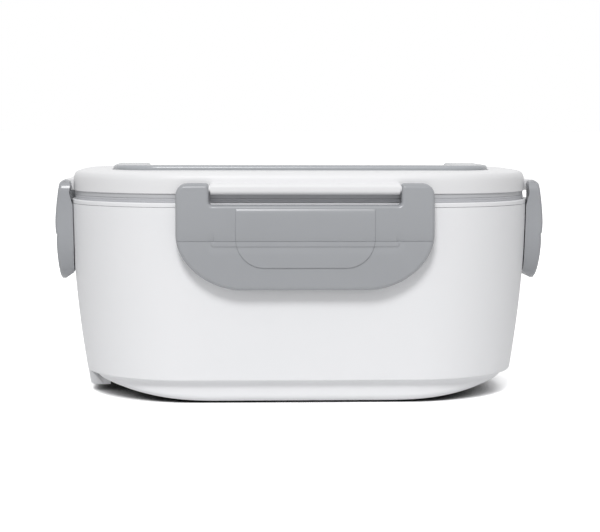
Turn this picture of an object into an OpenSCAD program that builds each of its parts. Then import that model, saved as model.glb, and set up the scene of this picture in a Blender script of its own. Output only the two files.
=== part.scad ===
// Electric lunch box: heated base, lift-out steel container, side tray and clip-down lid.
// The origin is on the surface it stands on, under the middle. The front faces -Y.

/* [Body] */
// Length of the rim, along X
rim_length = 220; // [204:1:240]
// Depth of the rim, along Y
rim_width = 152; // [144:1:172]
// Corner radius of the rim in plan
corner_radius = 59; // [54:1:64]
// Height of the rim above the table
rim_height = 93.3; // [88:0.1:104]
// How far the wall leans in from the rim to its lower edge
wall_lean = 7; // [5.5:0.5:9.5]
// Height of the wall's lower edge above the table
wall_foot = 10.9; // [10.2:0.1:11.5]
// Wall thickness of the outer shell
shell_wall = 2.2; // [1.8:0.1:2.6]
// Width of the ledge that turns in under the shell
foot_ledge = 8.5; // [7.5:0.5:9.5]

/* [Base cover] */
// How far the base cover stands back from the shell's lower edge
skirt_inset = 3.5; // [2.5:0.1:4]
// Height of the base cover's underside above the table
skirt_gap = 0.8; // [0.5:0.1:1.2]
// Length of the upward curve of the underside at each end, below the rim
keel_run = 70; // [66:1:76]
// Radius to which the underside curves up at both ends
keel_radius = 220; // [210:5:300]
// Thickness of the base cover
cover_wall = 2; // [1.6:0.1:2.2]
// Distance of the base screws from the middle, along X
screw_x = 70; // [64:1:74]
// Distance of the base screws from the middle, along Y
screw_y = 42; // [36:1:46]
// Distance of the feet from the middle, along X
foot_x = 57; // [48:1:60]
// Distance of the feet from the middle, along Y
foot_y = 36; // [30:1:42]
// Radius of a rubber foot
foot_radius = 6; // [4:0.5:7]

/* [Inner well] */
// Height of the band that the well's flange shows above the shell
rim_band = 2; // [1.6:0.1:2.6]
// Width of the flat rim that the lid's seal presses on
rim_land = 5.2; // [4.8:0.1:6]
// Wall thickness of the inner well
well_wall = 1.8; // [1.5:0.1:2.2]
// Height of the well's floor above the table
well_floor = 24; // [23:0.5:26]
// Length of the heating plate
plate_length = 144; // [138:1:150]
// Depth of the heating plate
plate_width = 88; // [84:1:92]
// Thickness of the heating plate
plate_thickness = 2; // [1.5:0.1:2.5]

/* [Container] */
// Sheet thickness of the steel container
steel = 0.7; // [0.5:0.1:0.9]
// How far the container's wall leans in from top to bottom
container_lean = 7.8; // [6:0.1:9]
// Left edge of the side tray, along X
tray_start = 32; // [20:1:40]
// Depth of the side tray below its flange
tray_depth = 40; // [25:1:50]
// Wall thickness of the side tray
tray_wall = 1.2; // [1:0.1:1.6]

/* [Lid] */
// Height of the lid's shell, from its lower edge to its top
lid_height = 10.4; // [10:0.1:12]
// Wall thickness of the lid
lid_wall = 2.2; // [1.8:0.1:2.4]
// How far the lid's side stands back from the rim
lid_inset = 0.8; // [0.7:0.1:1.2]
// Height of the silicone seal
seal_height = 2; // [1.6:0.1:2.4]
// Height of the grey liner's edge above the seal
liner_edge = 2; // [1.8:0.1:2.4]
// How far the seal and the liner stand back from the rim
band_inset = 1.5; // [1.2:0.1:2]
// Distance of the steam vent behind the middle
vent_y = 36; // [28:1:42]

/* [Handle] */
// Length of the handle, along X
handle_length = 178; // [170:1:184]
// Distance of the handle's front edge from the middle
handle_front = 56; // [50:1:60]
// Width of the handle's arms
arm_width = 16; // [13:0.5:18]
// Width of the handle's front bar
bar_width = 13; // [11:0.5:15]
// Thickness of the handle
handle_thickness = 4; // [3.5:0.1:4.6]
// How far the folded handle stands above the lid
handle_proud = 2.2; // [1.8:0.1:2.6]
// Outer corner radius of the handle
handle_corner = 22; // [18:1:24]
// Distance of the handle's pivot behind the middle
handle_pivot_y = 4; // [0:0.5:8]
// Radius of the handle's steel pins
handle_pin = 1.2; // [1:0.1:1.4]

/* [Latches] */
// Half width of the front and back latches
latch_half_long = 58.5; // [56:0.1:62]
// Half width of the side latches
latch_half_short = 31; // [28:0.5:34]
// Half width of the slot in the front and back latches
slot_half_long = 43.5; // [41:0.5:45]
// Half width of the slot in the side latches
slot_half_short = 21.5; // [19:0.5:22]
// Height of a latch, from its lower edge to the top of its prongs
latch_height = 48.4; // [46:0.1:52]
// How far a latch stands out from the rim at its fullest
latch_bulge = 7.2; // [7:0.1:8.5]
// Thickness of a latch's face
latch_face = 2.3; // [1.8:0.1:2.5]
// Thickness of the wall around a latch
latch_side = 2.2; // [1.8:0.1:2.6]
// Distance of a latch's pivot out from the rim
pivot_out = 2.8; // [2.7:0.1:3.2]
// Radius of a prong's round top
prong_radius = 2.7; // [2.6:0.1:3]
// Radius of the lid's hinge bars
bar_radius = 2.5; // [2.4:0.1:2.6]
// Radius of the stubs that the latches turn on
stub_radius = 1.6; // [1.4:0.1:1.8]
// How far a stub reaches into its prong
stub_length = 7; // [5:0.5:8]

/* [Inlets] */
// Half width of the inlet housing on the left side
housing_half = 24; // [23:0.5:26]
// Height of the housing's underside above the table
housing_gap = 3; // [2.5:0.1:3.5]
// Place of the mains inlet, along Y
mains_y = 8; // [7:0.5:9]
// Place of the car inlet, along Y
car_y = -12; // [-12.5:0.5:-10.5]
// Height of both inlets above the table
inlet_z = 14.3; // [14.2:0.1:14.6]

/* [Fits] */
// Gap around pieces that lift out
lift_gap = 0.6; // [0.4:0.1:0.8]
// Gap around fixed pieces that are set in a cut-out
seat_gap = 0.1; // [0.05:0.05:0.2]
// Radial running clearance of pins and stubs
run_gap = 0.05; // [0.03:0.01:0.1]
// Gap between the closed latches and the body
latch_gap = 0.5; // [0.3:0.1:0.7]

/* [Hidden] */
$fn = 64;
eps = 0.01;
half_l = rim_length / 2;
half_w = rim_width / 2;
// Corner centres of the plan, shared by every ring and plate
cx = half_l - corner_radius;
cy = half_w - corner_radius;

// The wall leans in along a parabola that is upright at the rim
function lean(z) = -wall_lean * pow((rim_height - z) / (rim_height - wall_foot), 2);
function bend(a, b, c, t) = pow(1 - t, 2) * a + 2 * t * (1 - t) * b + t * t * c;
function shift(points, out) = [for (p = points) [p[0] + out, p[1]]];
function reversed(list) = [for (i = [len(list) - 1:-1:0]) list[i]];

shell_top = rim_height - rim_band;
skirt_out = -(wall_lean + skirt_inset);
skirt_draft = 0.8;
skirt_in = skirt_out - skirt_draft - cover_wall;
keel_top = wall_foot - skirt_gap;
keel_flat = half_l - keel_run;

// Inner well
flange_step = 1.9;
container_seat = rim_height - flange_step;
well_mouth = -(rim_land + 3.4);
well_under = well_floor - 2;
container_out = well_mouth - lift_gap;
container_foot = well_floor + plate_thickness + 0.3;
flange_reach = rim_land + 0.4;
well_foot = well_mouth - container_lean;
window_margin = 7;
window_length = plate_length - 2 * window_margin;
window_width = plate_width - 2 * window_margin;
boss_radius = 3.6;

// Base screws
screw_shank = 1.45;
screw_head = 2.7;
screw_head_height = 2;
screw_length = 11;
head_seat = 5.4;
post_top = 8;

// Heater stack, from the plate down
plate_under = well_floor;
heater_length = 100;
heater_width = 24;
heater_height = 5;
clamp_x = window_length / 2 + boss_radius + 1;
clamp_sheet = 1;
clamp_width = 12;
board_sheet = 0.8;
board_width = 40;
heater_under = plate_under - heater_height;
clamp_under = heater_under - clamp_sheet;
board_under = clamp_under - board_sheet;
clamp_screw_length = 5;
thermostat_x = -30;
thermostat_y = 29;
thermostat_radius = 7.5;
thermostat_height = 4;
fuse_x = 24;
fuse_y = -28;
fuse_length = 12;
fuse_radius = 2;

// Lid
seal_foot = rim_height;
liner_foot = seal_foot + seal_height;
lid_foot = liner_foot + liner_edge;
lid_top = lid_foot + lid_height;
crown = 0.4;
handle_top = lid_top + handle_proud;
handle_under = handle_top - handle_thickness;
pocket_gap = 0.6;
pocket_drop = 0.2;
pocket_floor = handle_under - pocket_drop;
half_handle = handle_length / 2;
inner_corner = handle_corner - bar_width + 1;
barrel_radius = 2.9;
handle_pivot_z = handle_under - 1.1;
arm_inner = half_handle - arm_width;
vent_hole = 2.6;
vent_head = 7.5;
vent_head_height = 1.6;
vent_gap = 0.3;

// Latches, drawn as [out from the rim, up] sections
pivot_z = lid_foot + bar_radius;
latch_top = pivot_z + prong_radius;
latch_foot = latch_top - latch_height;
slot_foot = rim_height - 0.4;
crease_top = pivot_z - 23.3;
crease_height = 2.5;
crease_sink = 0.4;
foot_out = 5.8;
foot_round = 2.2;
foot_rise = 3.4;
pad_rise = 0.35;
pad_margin = 1.6;
catch_out = 2.6;
catch_z = rim_height - 10.8;
catch_height = 4;
bead_gap = 0.3;
bead_out = catch_out + bead_gap;
bead_top = catch_z - bead_gap;
bead_height = 2.6;
bar_end_gap = 0.7;
catch_half_long = slot_half_long / 2 + 8;
catch_half_short = slot_half_short / 2 + 1;

// Inlets, in a recess in the housing's outer face
housing_wall = 2;
housing_back = -(half_l - wall_lean - shell_wall - foot_ledge);
housing_sill = 9;
bezel_half = 19;
bezel_low = housing_gap + 3;
bezel_high = 21.5;
bezel_rim = 1.3;
bezel_plate = 2;
bezel_face = -(half_l - wall_lean - 2.7);
mains_half = 10;
mains_tall = 5.1;
mains_deep = 16;
car_half = 5.5;
car_deep = 14;
pin_pitch = 8.6;

wire_radius = 0.9;
wire_gap = 0.3;
// Ends of the inner wires: the backs of the inlets, and the faces of what they lead to
mains_end = bezel_face + mains_deep + wire_gap + 0.1;
car_end = bezel_face + car_deep + wire_gap + 0.1;
cup_end = plate_under - thermostat_height - wire_gap;
heater_end = heater_width / 2 + wire_gap / 2;
fuse_z = plate_under - fuse_radius;
// Routes of the inner wires
wires = [
  [[mains_end, mains_y + pin_pitch / 2, inlet_z], [mains_end + 4, mains_y + pin_pitch / 2, inlet_z],
   [-58, 25, 12], [-42, thermostat_y, 12], [thermostat_x - 5, thermostat_y, cup_end - 5.5],
   [thermostat_x - 4, thermostat_y, cup_end - 2.5], [thermostat_x - 4, thermostat_y, cup_end]],
  [[mains_end, mains_y - pin_pitch / 2, inlet_z], [mains_end + 4, mains_y - pin_pitch / 2, inlet_z],
   [-70, 0, 11.5], [-40, -22, 11], [4, fuse_y, 12], [15, fuse_y, 18],
   [fuse_x - 4, fuse_y, fuse_z], [fuse_x - wire_gap / 2, fuse_y, fuse_z]],
  [[fuse_x + fuse_length + wire_gap / 2, fuse_y, fuse_z], [fuse_x + fuse_length + 3, fuse_y, fuse_z],
   [43, -25, 21], [46, -19, 21.3], [46, -heater_end - 3.5, 21.5], [46, -heater_end, 21.5]],
  [[thermostat_x + 4, thermostat_y, cup_end], [thermostat_x + 4, thermostat_y, cup_end - 1.7],
   [-22, 26, 17.2], [-16, 19, 20.3], [-15, heater_end + 3.5, 21.5], [-15, heater_end, 21.5]],
  [[car_end, car_y, inlet_z], [car_end + 4, car_y, inlet_z], [-56, -24, 13.5],
   [-46, -24, 17.5], [-41, -19, 21.2], [-40, -heater_end - 3.5, 21.5], [-40, -heater_end, 21.5]]
];

// ---- Shared forms --------------------------------------------------------

// A closed ring whose section is given as [out from the rim line, up] points
module ring(section) {
  corner = [for (p = section) [corner_radius + p[0], p[1]]];
  for (k = [0:3])
    translate([(k == 0 || k == 3 ? cx : -cx), (k < 2 ? cy : -cy), 0])
      rotate([0, 0, 90 * k])
        rotate_extrude(angle = 90)
          polygon(corner);
  for (k = [0, 180])
    rotate([0, 0, k])
      translate([cx, 0, 0])
        rotate([90, 0, 0])
          linear_extrude(2 * cy, center = true)
            polygon(corner);
  for (k = [90, 270])
    rotate([0, 0, k])
      translate([cy, 0, 0])
        rotate([90, 0, 0])
          linear_extrude(2 * cx, center = true)
            polygon(corner);
}

// The same, filled to the middle: edge lists the outer points from the bottom up
module filled(edge) {
  low = edge[0][1];
  high = edge[len(edge) - 1][1];
  ring(concat([[-corner_radius, low]], edge, [[-corner_radius, high]]));
  translate([-cx, -cy, low])
    cube([2 * cx, 2 * cy, high - low]);
}

// A rounded rectangle with true arcs
module rounded(length, width, radius) {
  square([length - 2 * radius, width], center = true);
  square([length, width - 2 * radius], center = true);
  for (x = [-1, 1], y = [-1, 1])
    translate([x * (length / 2 - radius), y * (width / 2 - radius)])
      circle(radius);
}

module at_four(x, y) {
  for (sx = [-1, 1], sy = [-1, 1])
    translate([sx * x, sy * y, 0])
      children();
}

// What lies under the boat-shaped underside, raised by a wall thickness
module below_keel(raise) {
  rotate([90, 0, 0])
    linear_extrude(2 * rim_width, center = true) {
      translate([-rim_length, -20])
        square([2 * rim_length, 20 + skirt_gap + raise]);
      for (side = [-1, 1])
        difference() {
          translate([side > 0 ? keel_flat : -rim_length, -20])
            square([rim_length - keel_flat, 20 + keel_top + 30]);
          translate([side * keel_flat, skirt_gap + keel_radius])
            circle(keel_radius - raise, $fn = 256);
        }
    }
}

// ---- Heated base ---------------------------------------------------------

// Outer points of the wall between two heights
function wall_points(low, high, steps) = [
  for (i = [0:steps])
    let (z = low + (high - low) * i / steps) [lean(z), z]
];

// Inner end of the ledge that the base cover closes against
ledge_in = lean(wall_foot) - shell_wall - foot_ledge;

module outer_shell() {
  outer = wall_points(wall_foot, shell_top, 6);
  inner = reversed(shift(wall_points(wall_foot + cover_wall, shell_top, 6), -shell_wall));
  ledge = [[ledge_in, wall_foot + cover_wall], [ledge_in, wall_foot]];
  color("white")
    difference() {
      union() {
        ring(concat(outer, inner, ledge));
        // The inlet housing runs on down below the wall on the left
        housing(0, housing_gap, wall_foot, 0);
        // Catches that the latches close over
        for (turn = [0, 180])
          rotate([0, 0, turn])
            catch_ledge(half_w, catch_half_long);
        for (turn = [90, 270])
          rotate([0, 0, turn])
            catch_ledge(half_l, catch_half_short);
      }
      housing(shell_wall, housing_gap + housing_wall, wall_foot + cover_wall, housing_wall);
      translate([housing_back - housing_wall - eps, -housing_half + housing_wall, housing_sill])
        cube([housing_wall + 1, 2 * (housing_half - housing_wall), bezel_high - housing_sill]);
      bezel_cut(0);
    }
}

// The left end of the body between two heights, taken in by a wall thickness
module housing(inside, low, high, side) {
  intersection() {
    filled(shift(wall_points(low, high, 4), -inside));
    translate([-half_l, -housing_half + side, low])
      cube([half_l + housing_back - side, 2 * (housing_half - side), high - low]);
  }
}

// A ledge along one side of the wall, level underneath and sloped on top
module catch_ledge(reach, half) {
  translate([0, -reach, 0])
    rotate([90, 0, 90])
      linear_extrude(2 * half, center = true)
        polygon([
          [shell_wall / 2, catch_z],
          [-catch_out, catch_z],
          [-catch_out, catch_z + catch_height / 2],
          [shell_wall / 2, catch_z + catch_height]
        ]);
}

// The cut-out for the bezel, made smaller all round by a gap
module bezel_cut(gap) {
  translate([-half_l - 5, -bezel_half + gap, bezel_low + gap])
    cube([5 + half_l + bezel_face + bezel_plate,
          2 * (bezel_half - gap), bezel_high - bezel_low - 2 * gap]);
}

module inner_well() {
  under = rim_height - rim_band;
  seat_under = container_seat - well_wall;
  outer_lip = -(shell_wall + 0.4);
  color("white")
    difference() {
      union() {
        ring([
          [0, under], [0, rim_height - 0.5], [-0.5, rim_height], [-rim_land, rim_height],
          [-rim_land, container_seat], [well_mouth, container_seat],
          [well_foot, well_floor], [-corner_radius, well_floor],
          [-corner_radius, well_under], [well_foot + well_wall, well_under],
          [well_mouth + well_wall, seat_under], [outer_lip, seat_under], [outer_lip, under]
        ]);
        // The floor, around the window for the heater
        translate([-cx, -cy, well_under])
          cube([2 * cx, 2 * cy, well_floor - well_under]);
        // Bosses for the base screws
        at_four(screw_x, screw_y)
          translate([0, 0, post_top])
            cylinder(h = well_under - post_top + eps, r = boss_radius);
        // Bosses for the heater's clamp
        for (x = [-clamp_x, clamp_x])
          translate([x, 0, heater_under])
            cylinder(h = well_under - heater_under + eps, r = boss_radius);
      }
      translate([0, 0, well_under - 1])
        linear_extrude(well_floor - well_under + 2)
          rounded(window_length, window_width, 8);
      at_four(screw_x, screw_y)
        translate([0, 0, post_top - 1])
          cylinder(h = screw_length, r = screw_shank + run_gap);
      for (x = [-clamp_x, clamp_x])
        translate([x, 0, heater_under - 1])
          cylinder(h = clamp_screw_length, r = screw_shank + run_gap);
    }
}

module heating_plate() {
  color("silver")
    translate([0, 0, well_floor])
      linear_extrude(plate_thickness)
        rounded(plate_length, plate_width, 12);
}

module ptc_heater() {
  color("silver")
    translate([-heater_length / 2, -heater_width / 2, heater_under])
      cube([heater_length, heater_width, heater_height]);
}

// A sprung strip that presses the heater up against the plate
module heater_clamp() {
  color("gray")
    difference() {
      translate([0, 0, clamp_under])
        linear_extrude(clamp_sheet)
          rounded(2 * (clamp_x + 6), clamp_width, 3);
      for (x = [-clamp_x, clamp_x])
        translate([x, 0, clamp_under - 1])
          cylinder(h = clamp_sheet + 2, r = screw_shank + seat_gap);
    }
}

module insulation_board() {
  color("tan")
    difference() {
      translate([0, 0, board_under])
        linear_extrude(board_sheet)
          rounded(2 * (clamp_x + 5), board_width, 4);
      for (x = [-clamp_x, clamp_x])
        translate([x, 0, board_under - 1])
          cylinder(h = board_sheet + 2, r = screw_shank + seat_gap);
    }
}

// A round-headed screw that stands on its head, with a cross slot below
module screw(seat, length) {
  translate([0, 0, seat])
    cylinder(h = length, r = screw_shank);
  difference() {
    translate([0, 0, seat - screw_head_height])
      cylinder(h = screw_head_height, r = screw_head);
    for (turn = [0, 90])
      rotate([0, 0, turn])
        translate([-1.6, -0.4, seat - screw_head_height - 1])
          cube([3.2, 0.8, 2]);
  }
}

module clamp_screws() {
  color("silver")
    for (x = [-clamp_x, clamp_x])
      translate([x, 0, 0])
        screw(board_under, clamp_screw_length);
}

module base_screws() {
  color("silver")
    at_four(screw_x, screw_y)
      screw(head_seat, screw_length - 2);
}

// A round thermostat with two flat terminals
module thermostat() {
  color("black")
    translate([thermostat_x, thermostat_y, plate_under - thermostat_height])
      cylinder(h = thermostat_height, r = thermostat_radius);
}

module thermal_fuse() {
  color("silver")
    translate([fuse_x, fuse_y, plate_under - fuse_radius])
      rotate([0, 90, 0])
        cylinder(h = fuse_length, r = fuse_radius);
}

// A rubber-covered wire swept along a smooth curve through its points
function on_curve(p, t) =
  let (n = len(p) - 1, i = min(floor(t), n - 1), u = t - i,
       a = p[max(i - 1, 0)], b = p[i], c = p[i + 1], d = p[min(i + 2, n)])
  0.5 * (2 * b + (c - a) * u + (2 * a - 5 * b + 4 * c - d) * u * u
         + (3 * b - a - 3 * c + d) * u * u * u);
function unit(v) = v / norm(v);

module wire(points) {
  sides = 8;
  steps = 3 * (len(points) - 1);
  span = (len(points) - 1) / steps;
  path = [for (i = [0:steps]) on_curve(points, i * span)];
  rings = [
    for (i = [0:steps])
      let (along = unit(path[min(i + 1, steps)] - path[max(i - 1, 0)]),
           across = unit(cross(along, [0.35, 0.1, 0.93])),
           up = cross(along, across))
      for (k = [0:sides - 1])
        path[i] + wire_radius * (cos(360 * k / sides) * across + sin(360 * k / sides) * up)
  ];
  walls = [
    for (i = [0:steps - 1], k = [0:sides - 1])
      let (a = i * sides + k, b = i * sides + (k + 1) % sides)
      [a, b, b + sides, a + sides]
  ];
  near = [for (k = [sides - 1:-1:0]) k];
  far = [for (k = [0:sides - 1]) steps * sides + k];
  polyhedron(points = rings, faces = concat([near], walls, [far]), convexity = 4);
}

module wiring() {
  color("dimgray")
    for (route = wires)
      wire(route);
}

// A figure-eight mains inlet with two pins
module mains_inlet() {
  color("black")
    difference() {
      translate([bezel_face, mains_y - mains_half, inlet_z - mains_tall])
        cube([mains_deep, 2 * mains_half, 2 * mains_tall]);
      for (side = [-1, 1])
        translate([bezel_face - 1, mains_y + side * pin_pitch * 0.4, inlet_z])
          rotate([0, 90, 0])
            cylinder(h = mains_deep - 2, r = 4.2);
      translate([bezel_face - 1, mains_y - pin_pitch * 0.4, inlet_z - 3.6])
        cube([mains_deep - 2, pin_pitch * 0.8, 7.2]);
    }
  color("silver")
    for (side = [-1, 1])
      translate([bezel_face + 2, mains_y + side * pin_pitch / 2, inlet_z])
        rotate([0, 90, 0])
          cylinder(h = mains_deep - 4, r = 1.18);
}

// A round low-voltage jack with a centre pin
module car_inlet() {
  color("black")
    difference() {
      translate([bezel_face, car_y - car_half, inlet_z - mains_tall])
        cube([car_deep, 2 * car_half, 2 * mains_tall]);
      translate([bezel_face - 1, car_y, inlet_z])
        rotate([0, 90, 0])
          cylinder(h = 11, r = 2.9);
    }
  color("silver")
    translate([bezel_face + 1.5, car_y, inlet_z])
      rotate([0, 90, 0])
        cylinder(h = 9, r = 1.05);
}

module inlet_bezel() {
  color("black")
    difference() {
      intersection() {
        filled(wall_points(bezel_low, bezel_high, 4));
        bezel_cut(seat_gap);
      }
      translate([-half_l - 5, -bezel_half + bezel_rim, bezel_low + bezel_rim])
        cube([5 + half_l + bezel_face,
              2 * (bezel_half - bezel_rim), bezel_high - bezel_low - 2 * bezel_rim]);
      translate([bezel_face - 1, mains_y - mains_half - seat_gap, inlet_z - mains_tall - seat_gap])
        cube([bezel_plate + 2, 2 * (mains_half + seat_gap), 2 * (mains_tall + seat_gap)]);
      translate([bezel_face - 1, car_y - car_half - seat_gap, inlet_z - mains_tall - seat_gap])
        cube([bezel_plate + 2, 2 * (car_half + seat_gap), 2 * (mains_tall + seat_gap)]);
    }
}

module base_cover() {
  color("whitesmoke")
    difference() {
      union() {
        difference() {
          filled([[skirt_out - skirt_draft, skirt_gap], [skirt_out, wall_foot]]);
          difference() {
            filled([[skirt_in, skirt_gap + cover_wall], [skirt_in, wall_foot + 1]]);
            below_keel(cover_wall);
          }
        }
        // Posts that meet the well's bosses
        at_four(screw_x, screw_y)
          translate([0, 0, skirt_gap + 1])
            cylinder(h = post_top - skirt_gap - 1, r = screw_head + 2);
      }
      below_keel(0);
      at_four(screw_x, screw_y) {
        translate([0, 0, -1])
          cylinder(h = head_seat + 1, r = screw_head + 0.2);
        translate([0, 0, -1])
          cylinder(h = post_top + 2, r = screw_shank + seat_gap);
      }
      at_four(foot_x, foot_y)
        translate([0, 0, -1])
          cylinder(h = foot_top + 1, r = foot_radius + seat_gap);
      // Room for the inlet housing
      translate([-half_l, -housing_half - seat_gap, -1])
        cube([half_l + housing_back + seat_gap, 2 * (housing_half + seat_gap), wall_foot + 2]);
    }
}

// Top of a foot, in its pocket in the base cover
foot_top = skirt_gap + 1.5;

module rubber_feet() {
  color("gray")
    at_four(foot_x, foot_y) {
      translate([0, 0, 0.6])
        cylinder(h = foot_top - 0.6, r = foot_radius);
      cylinder(h = 0.6, r1 = foot_radius - 0.6, r2 = foot_radius);
    }
}

// ---- Container and side tray ---------------------------------------------

// Outer points of the steel container, round at the foot
function container_points(inset, low) =
  let (foot = container_out - container_lean + 0.8, r = 6)
  concat(
    [for (a = [0:30:90]) [foot - r - inset + (r + 0.6) * sin(a), low + r - r * cos(a)]],
    [[container_out - inset, container_seat]]
  );

module food_container() {
  color("silver")
    difference() {
      union() {
        filled(container_points(0, container_foot));
        ring([
          [container_out - 0.3, container_seat], [-flange_reach, container_seat],
          [-flange_reach, container_seat + steel], [container_out - 0.3, container_seat + steel]
        ]);
      }
      filled(concat(container_points(steel, container_foot + steel),
                    [[container_out - steel, container_seat + 1]]));
    }
}

// Room for the tray inside the container, taken in by a further amount
module tray_form(inset, low, high, start) {
  out = container_out - steel - lift_gap - inset;
  foot = out - container_lean * (container_seat - low) / (container_seat - container_foot);
  intersection() {
    filled([[foot, low], [out, high]]);
    translate([start, -half_w, low - 1])
      cube([half_l, 2 * half_w, high - low + 2]);
  }
}

module side_tray() {
  seat = container_seat + steel;
  foot = seat - tray_depth;
  color("gainsboro")
    difference() {
      union() {
        tray_form(0, foot, seat, tray_start);
        // Flange that hangs on the container's rim
        intersection() {
          filled([[-flange_reach - 0.4, seat], [-flange_reach - 0.4, rim_height]]);
          translate([tray_start, -half_w, seat])
            cube([half_l, 2 * half_w, rim_height - seat]);
        }
      }
      tray_form(tray_wall, foot + tray_wall, rim_height + 1, tray_start + tray_wall);
    }
}

// ---- Lid -----------------------------------------------------------------

// Section of the lid's side: upright, then a tight round shoulder and a low crown
lid_edge = [
  [-lid_inset, lid_foot], [-lid_inset, lid_top - 5],
  [-lid_inset - 0.2, lid_top - 3.6], [-lid_inset - 0.6, lid_top - 2.4],
  [-lid_inset - 1.2, lid_top - 1.5], [-lid_inset - 2.2, lid_top - 0.9],
  [-lid_inset - 3.8, lid_top - crown - 0.1], [-lid_inset - 7, lid_top - crown + 0.2],
  [-lid_inset - 20, lid_top]
];
lid_hollow = [
  [-lid_inset - lid_wall, lid_foot - 1], [-lid_inset - lid_wall, lid_top - 5],
  [-lid_inset - lid_wall - 1.5, lid_top - lid_wall - 1.4],
  [-lid_inset - lid_wall - 4.5, lid_top - lid_wall - 0.4]
];

// Outline of the folded handle, grown all round by a gap
module handle_plan(gap) {
  rear = handle_pivot_y + gap;
  difference() {
    union() {
      translate([0, -handle_front + handle_corner])
        for (side = [-1, 1])
          translate([side * (half_handle - handle_corner), 0])
            circle(handle_corner + gap);
      translate([-half_handle + handle_corner, -handle_front - gap])
        square([2 * (half_handle - handle_corner), handle_corner]);
      translate([-half_handle - gap, -handle_front + handle_corner])
        square([handle_length + 2 * gap, handle_front - handle_corner + rear]);
    }
    handle_gap(gap, rear);
  }
}

// The gap between the arms
module handle_gap(gap, rear) {
  bar_rear = -handle_front + bar_width + gap;
  half = arm_inner - gap;
  for (side = [-1, 1])
    translate([side * (half - inner_corner), bar_rear + inner_corner])
      circle(inner_corner);
  translate([-half + inner_corner, bar_rear])
    square([2 * (half - inner_corner), inner_corner + 1]);
  translate([-half, bar_rear + inner_corner])
    square([2 * half, rear + 1 - bar_rear - inner_corner]);
}

// The well that the pivot end of an arm turns in, grown by a wall thickness
module arm_well(grow, low) {
  for (side = [-1, 1])
    translate([side * (arm_inner + arm_width / 2), 0, 0])
      translate([-arm_width / 2 - pocket_gap - grow,
                 handle_pivot_y - barrel_radius - pocket_gap - 0.4 - grow, low])
        cube([arm_width + 2 * (pocket_gap + grow),
              barrel_radius + handle_thickness + 2.5 + 2 * (pocket_gap + grow) , 20]);
}

well_low = handle_pivot_z - barrel_radius - pocket_gap;

module lid_shell() {
  color("white")
    difference() {
      union() {
        difference() {
          filled(lid_edge);
          filled(lid_hollow);
        }
        // The sunk bed of the handle, and the wells at its pivots
        intersection() {
          filled(lid_edge);
          union() {
            translate([0, 0, pocket_floor - lid_wall + 0.4])
              linear_extrude(20)
                handle_plan(pocket_gap + lid_wall - 0.4);
            arm_well(lid_wall - 0.4, well_low - lid_wall + 0.4);
          }
        }
        // Seat of the steam vent
        translate([0, vent_y, lid_top - vent_head_height - 0.2 - lid_wall])
          cylinder(h = lid_wall + 1, r = vent_head + 2.4);
        for (turn = [0, 180])
          rotate([0, 0, turn])
            hinge_bar(half_w, slot_half_long);
        for (turn = [90, 270])
          rotate([0, 0, turn])
            hinge_bar(half_l, slot_half_short);
      }
      translate([0, 0, pocket_floor])
        linear_extrude(20)
          handle_plan(pocket_gap);
      arm_well(0, well_low);
      for (side = [-1, 1])
        translate([side * (arm_inner + arm_width / 2) - 20, handle_pivot_y, handle_pivot_z])
          rotate([0, 90, 0])
            intersection() {
              cylinder(h = 40, r = handle_pin);
              translate([-5, -5, 20 - pin_half])
                cube([10, 10, 2 * pin_half]);
            }
      translate([0, vent_y, lid_top - vent_head_height - 0.2])
        cylinder(h = 5, r = vent_head + vent_gap);
      translate([0, vent_y, lid_foot - 1])
        cylinder(h = lid_height, r = vent_hole + vent_gap);
    }
}

// Half length of a handle pin, which ends in the walls of the arm's well
pin_half = arm_width / 2 + pocket_gap + lid_wall - 0.6;

// A bar along one side of the lid, with a stub at each end for the latch
module hinge_bar(reach, slot_half) {
  half = slot_half - bar_end_gap;
  translate([0, -reach, 0])
    rotate([90, 0, 90]) {
      translate([-pivot_out, pivot_z, 0])
        cylinder(h = 2 * half, r = bar_radius, center = true);
      translate([-pivot_out, pivot_z, 0])
        cylinder(h = 2 * (slot_half + stub_length), r = stub_radius, center = true);
      linear_extrude(2 * half, center = true)
        translate([-pivot_out, pivot_z - bar_radius])
          square([pivot_out + lid_inset + lid_wall / 2, 2 * bar_radius]);
    }
}

module lid_liner() {
  color("lightgray")
    difference() {
      filled([[-band_inset, liner_foot], [-band_inset, lid_foot]]);
      translate([0, vent_y, liner_foot - 1])
        cylinder(h = liner_edge + 2, r = vent_hole + vent_gap);
    }
}

module lid_seal() {
  lip = -rim_land;
  color("lightgray")
    ring([
      [-band_inset, seal_foot], [-band_inset, liner_foot], [lip, liner_foot], [lip, seal_foot]
    ]);
}

module vent_plug() {
  color("gray") {
    translate([0, vent_y, lid_top - vent_head_height])
      cylinder(h = vent_head_height, r = vent_head);
    translate([0, vent_y, lid_foot + 1])
      cylinder(h = lid_top - vent_head_height - lid_foot - 1 + eps, r = vent_hole);
  }
}

// ---- Handle --------------------------------------------------------------

module handle() {
  color("gray")
    difference() {
      union() {
        translate([0, 0, handle_under])
          linear_extrude(handle_thickness)
            handle_plan(0);
        for (side = [-1, 1])
          translate([side * (arm_inner + arm_width / 2), handle_pivot_y, 0])
            rotate([90, 0, 90])
              linear_extrude(arm_width, center = true)
                arm_end();
      }
      for (side = [-1, 1])
        translate([side * (arm_inner + arm_width / 2), handle_pivot_y, handle_pivot_z])
          rotate([0, 90, 0])
            cylinder(h = arm_width + 2, r = handle_pin + run_gap, center = true);
    }
}

// Section of the barrel at the end of an arm, seen along the pin
module arm_end() {
  translate([0, handle_pivot_z])
    circle(barrel_radius);
  translate([-barrel_radius, handle_pivot_z])
    square([barrel_radius, handle_top - handle_pivot_z - 1]);
  translate([-barrel_radius - 3, handle_under])
    square([barrel_radius + 3, handle_thickness]);
  intersection() {
    translate([0, handle_pivot_z])
      circle(handle_top - handle_pivot_z);
    translate([0, handle_pivot_z])
      square([barrel_radius, 20]);
  }
}

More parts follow.
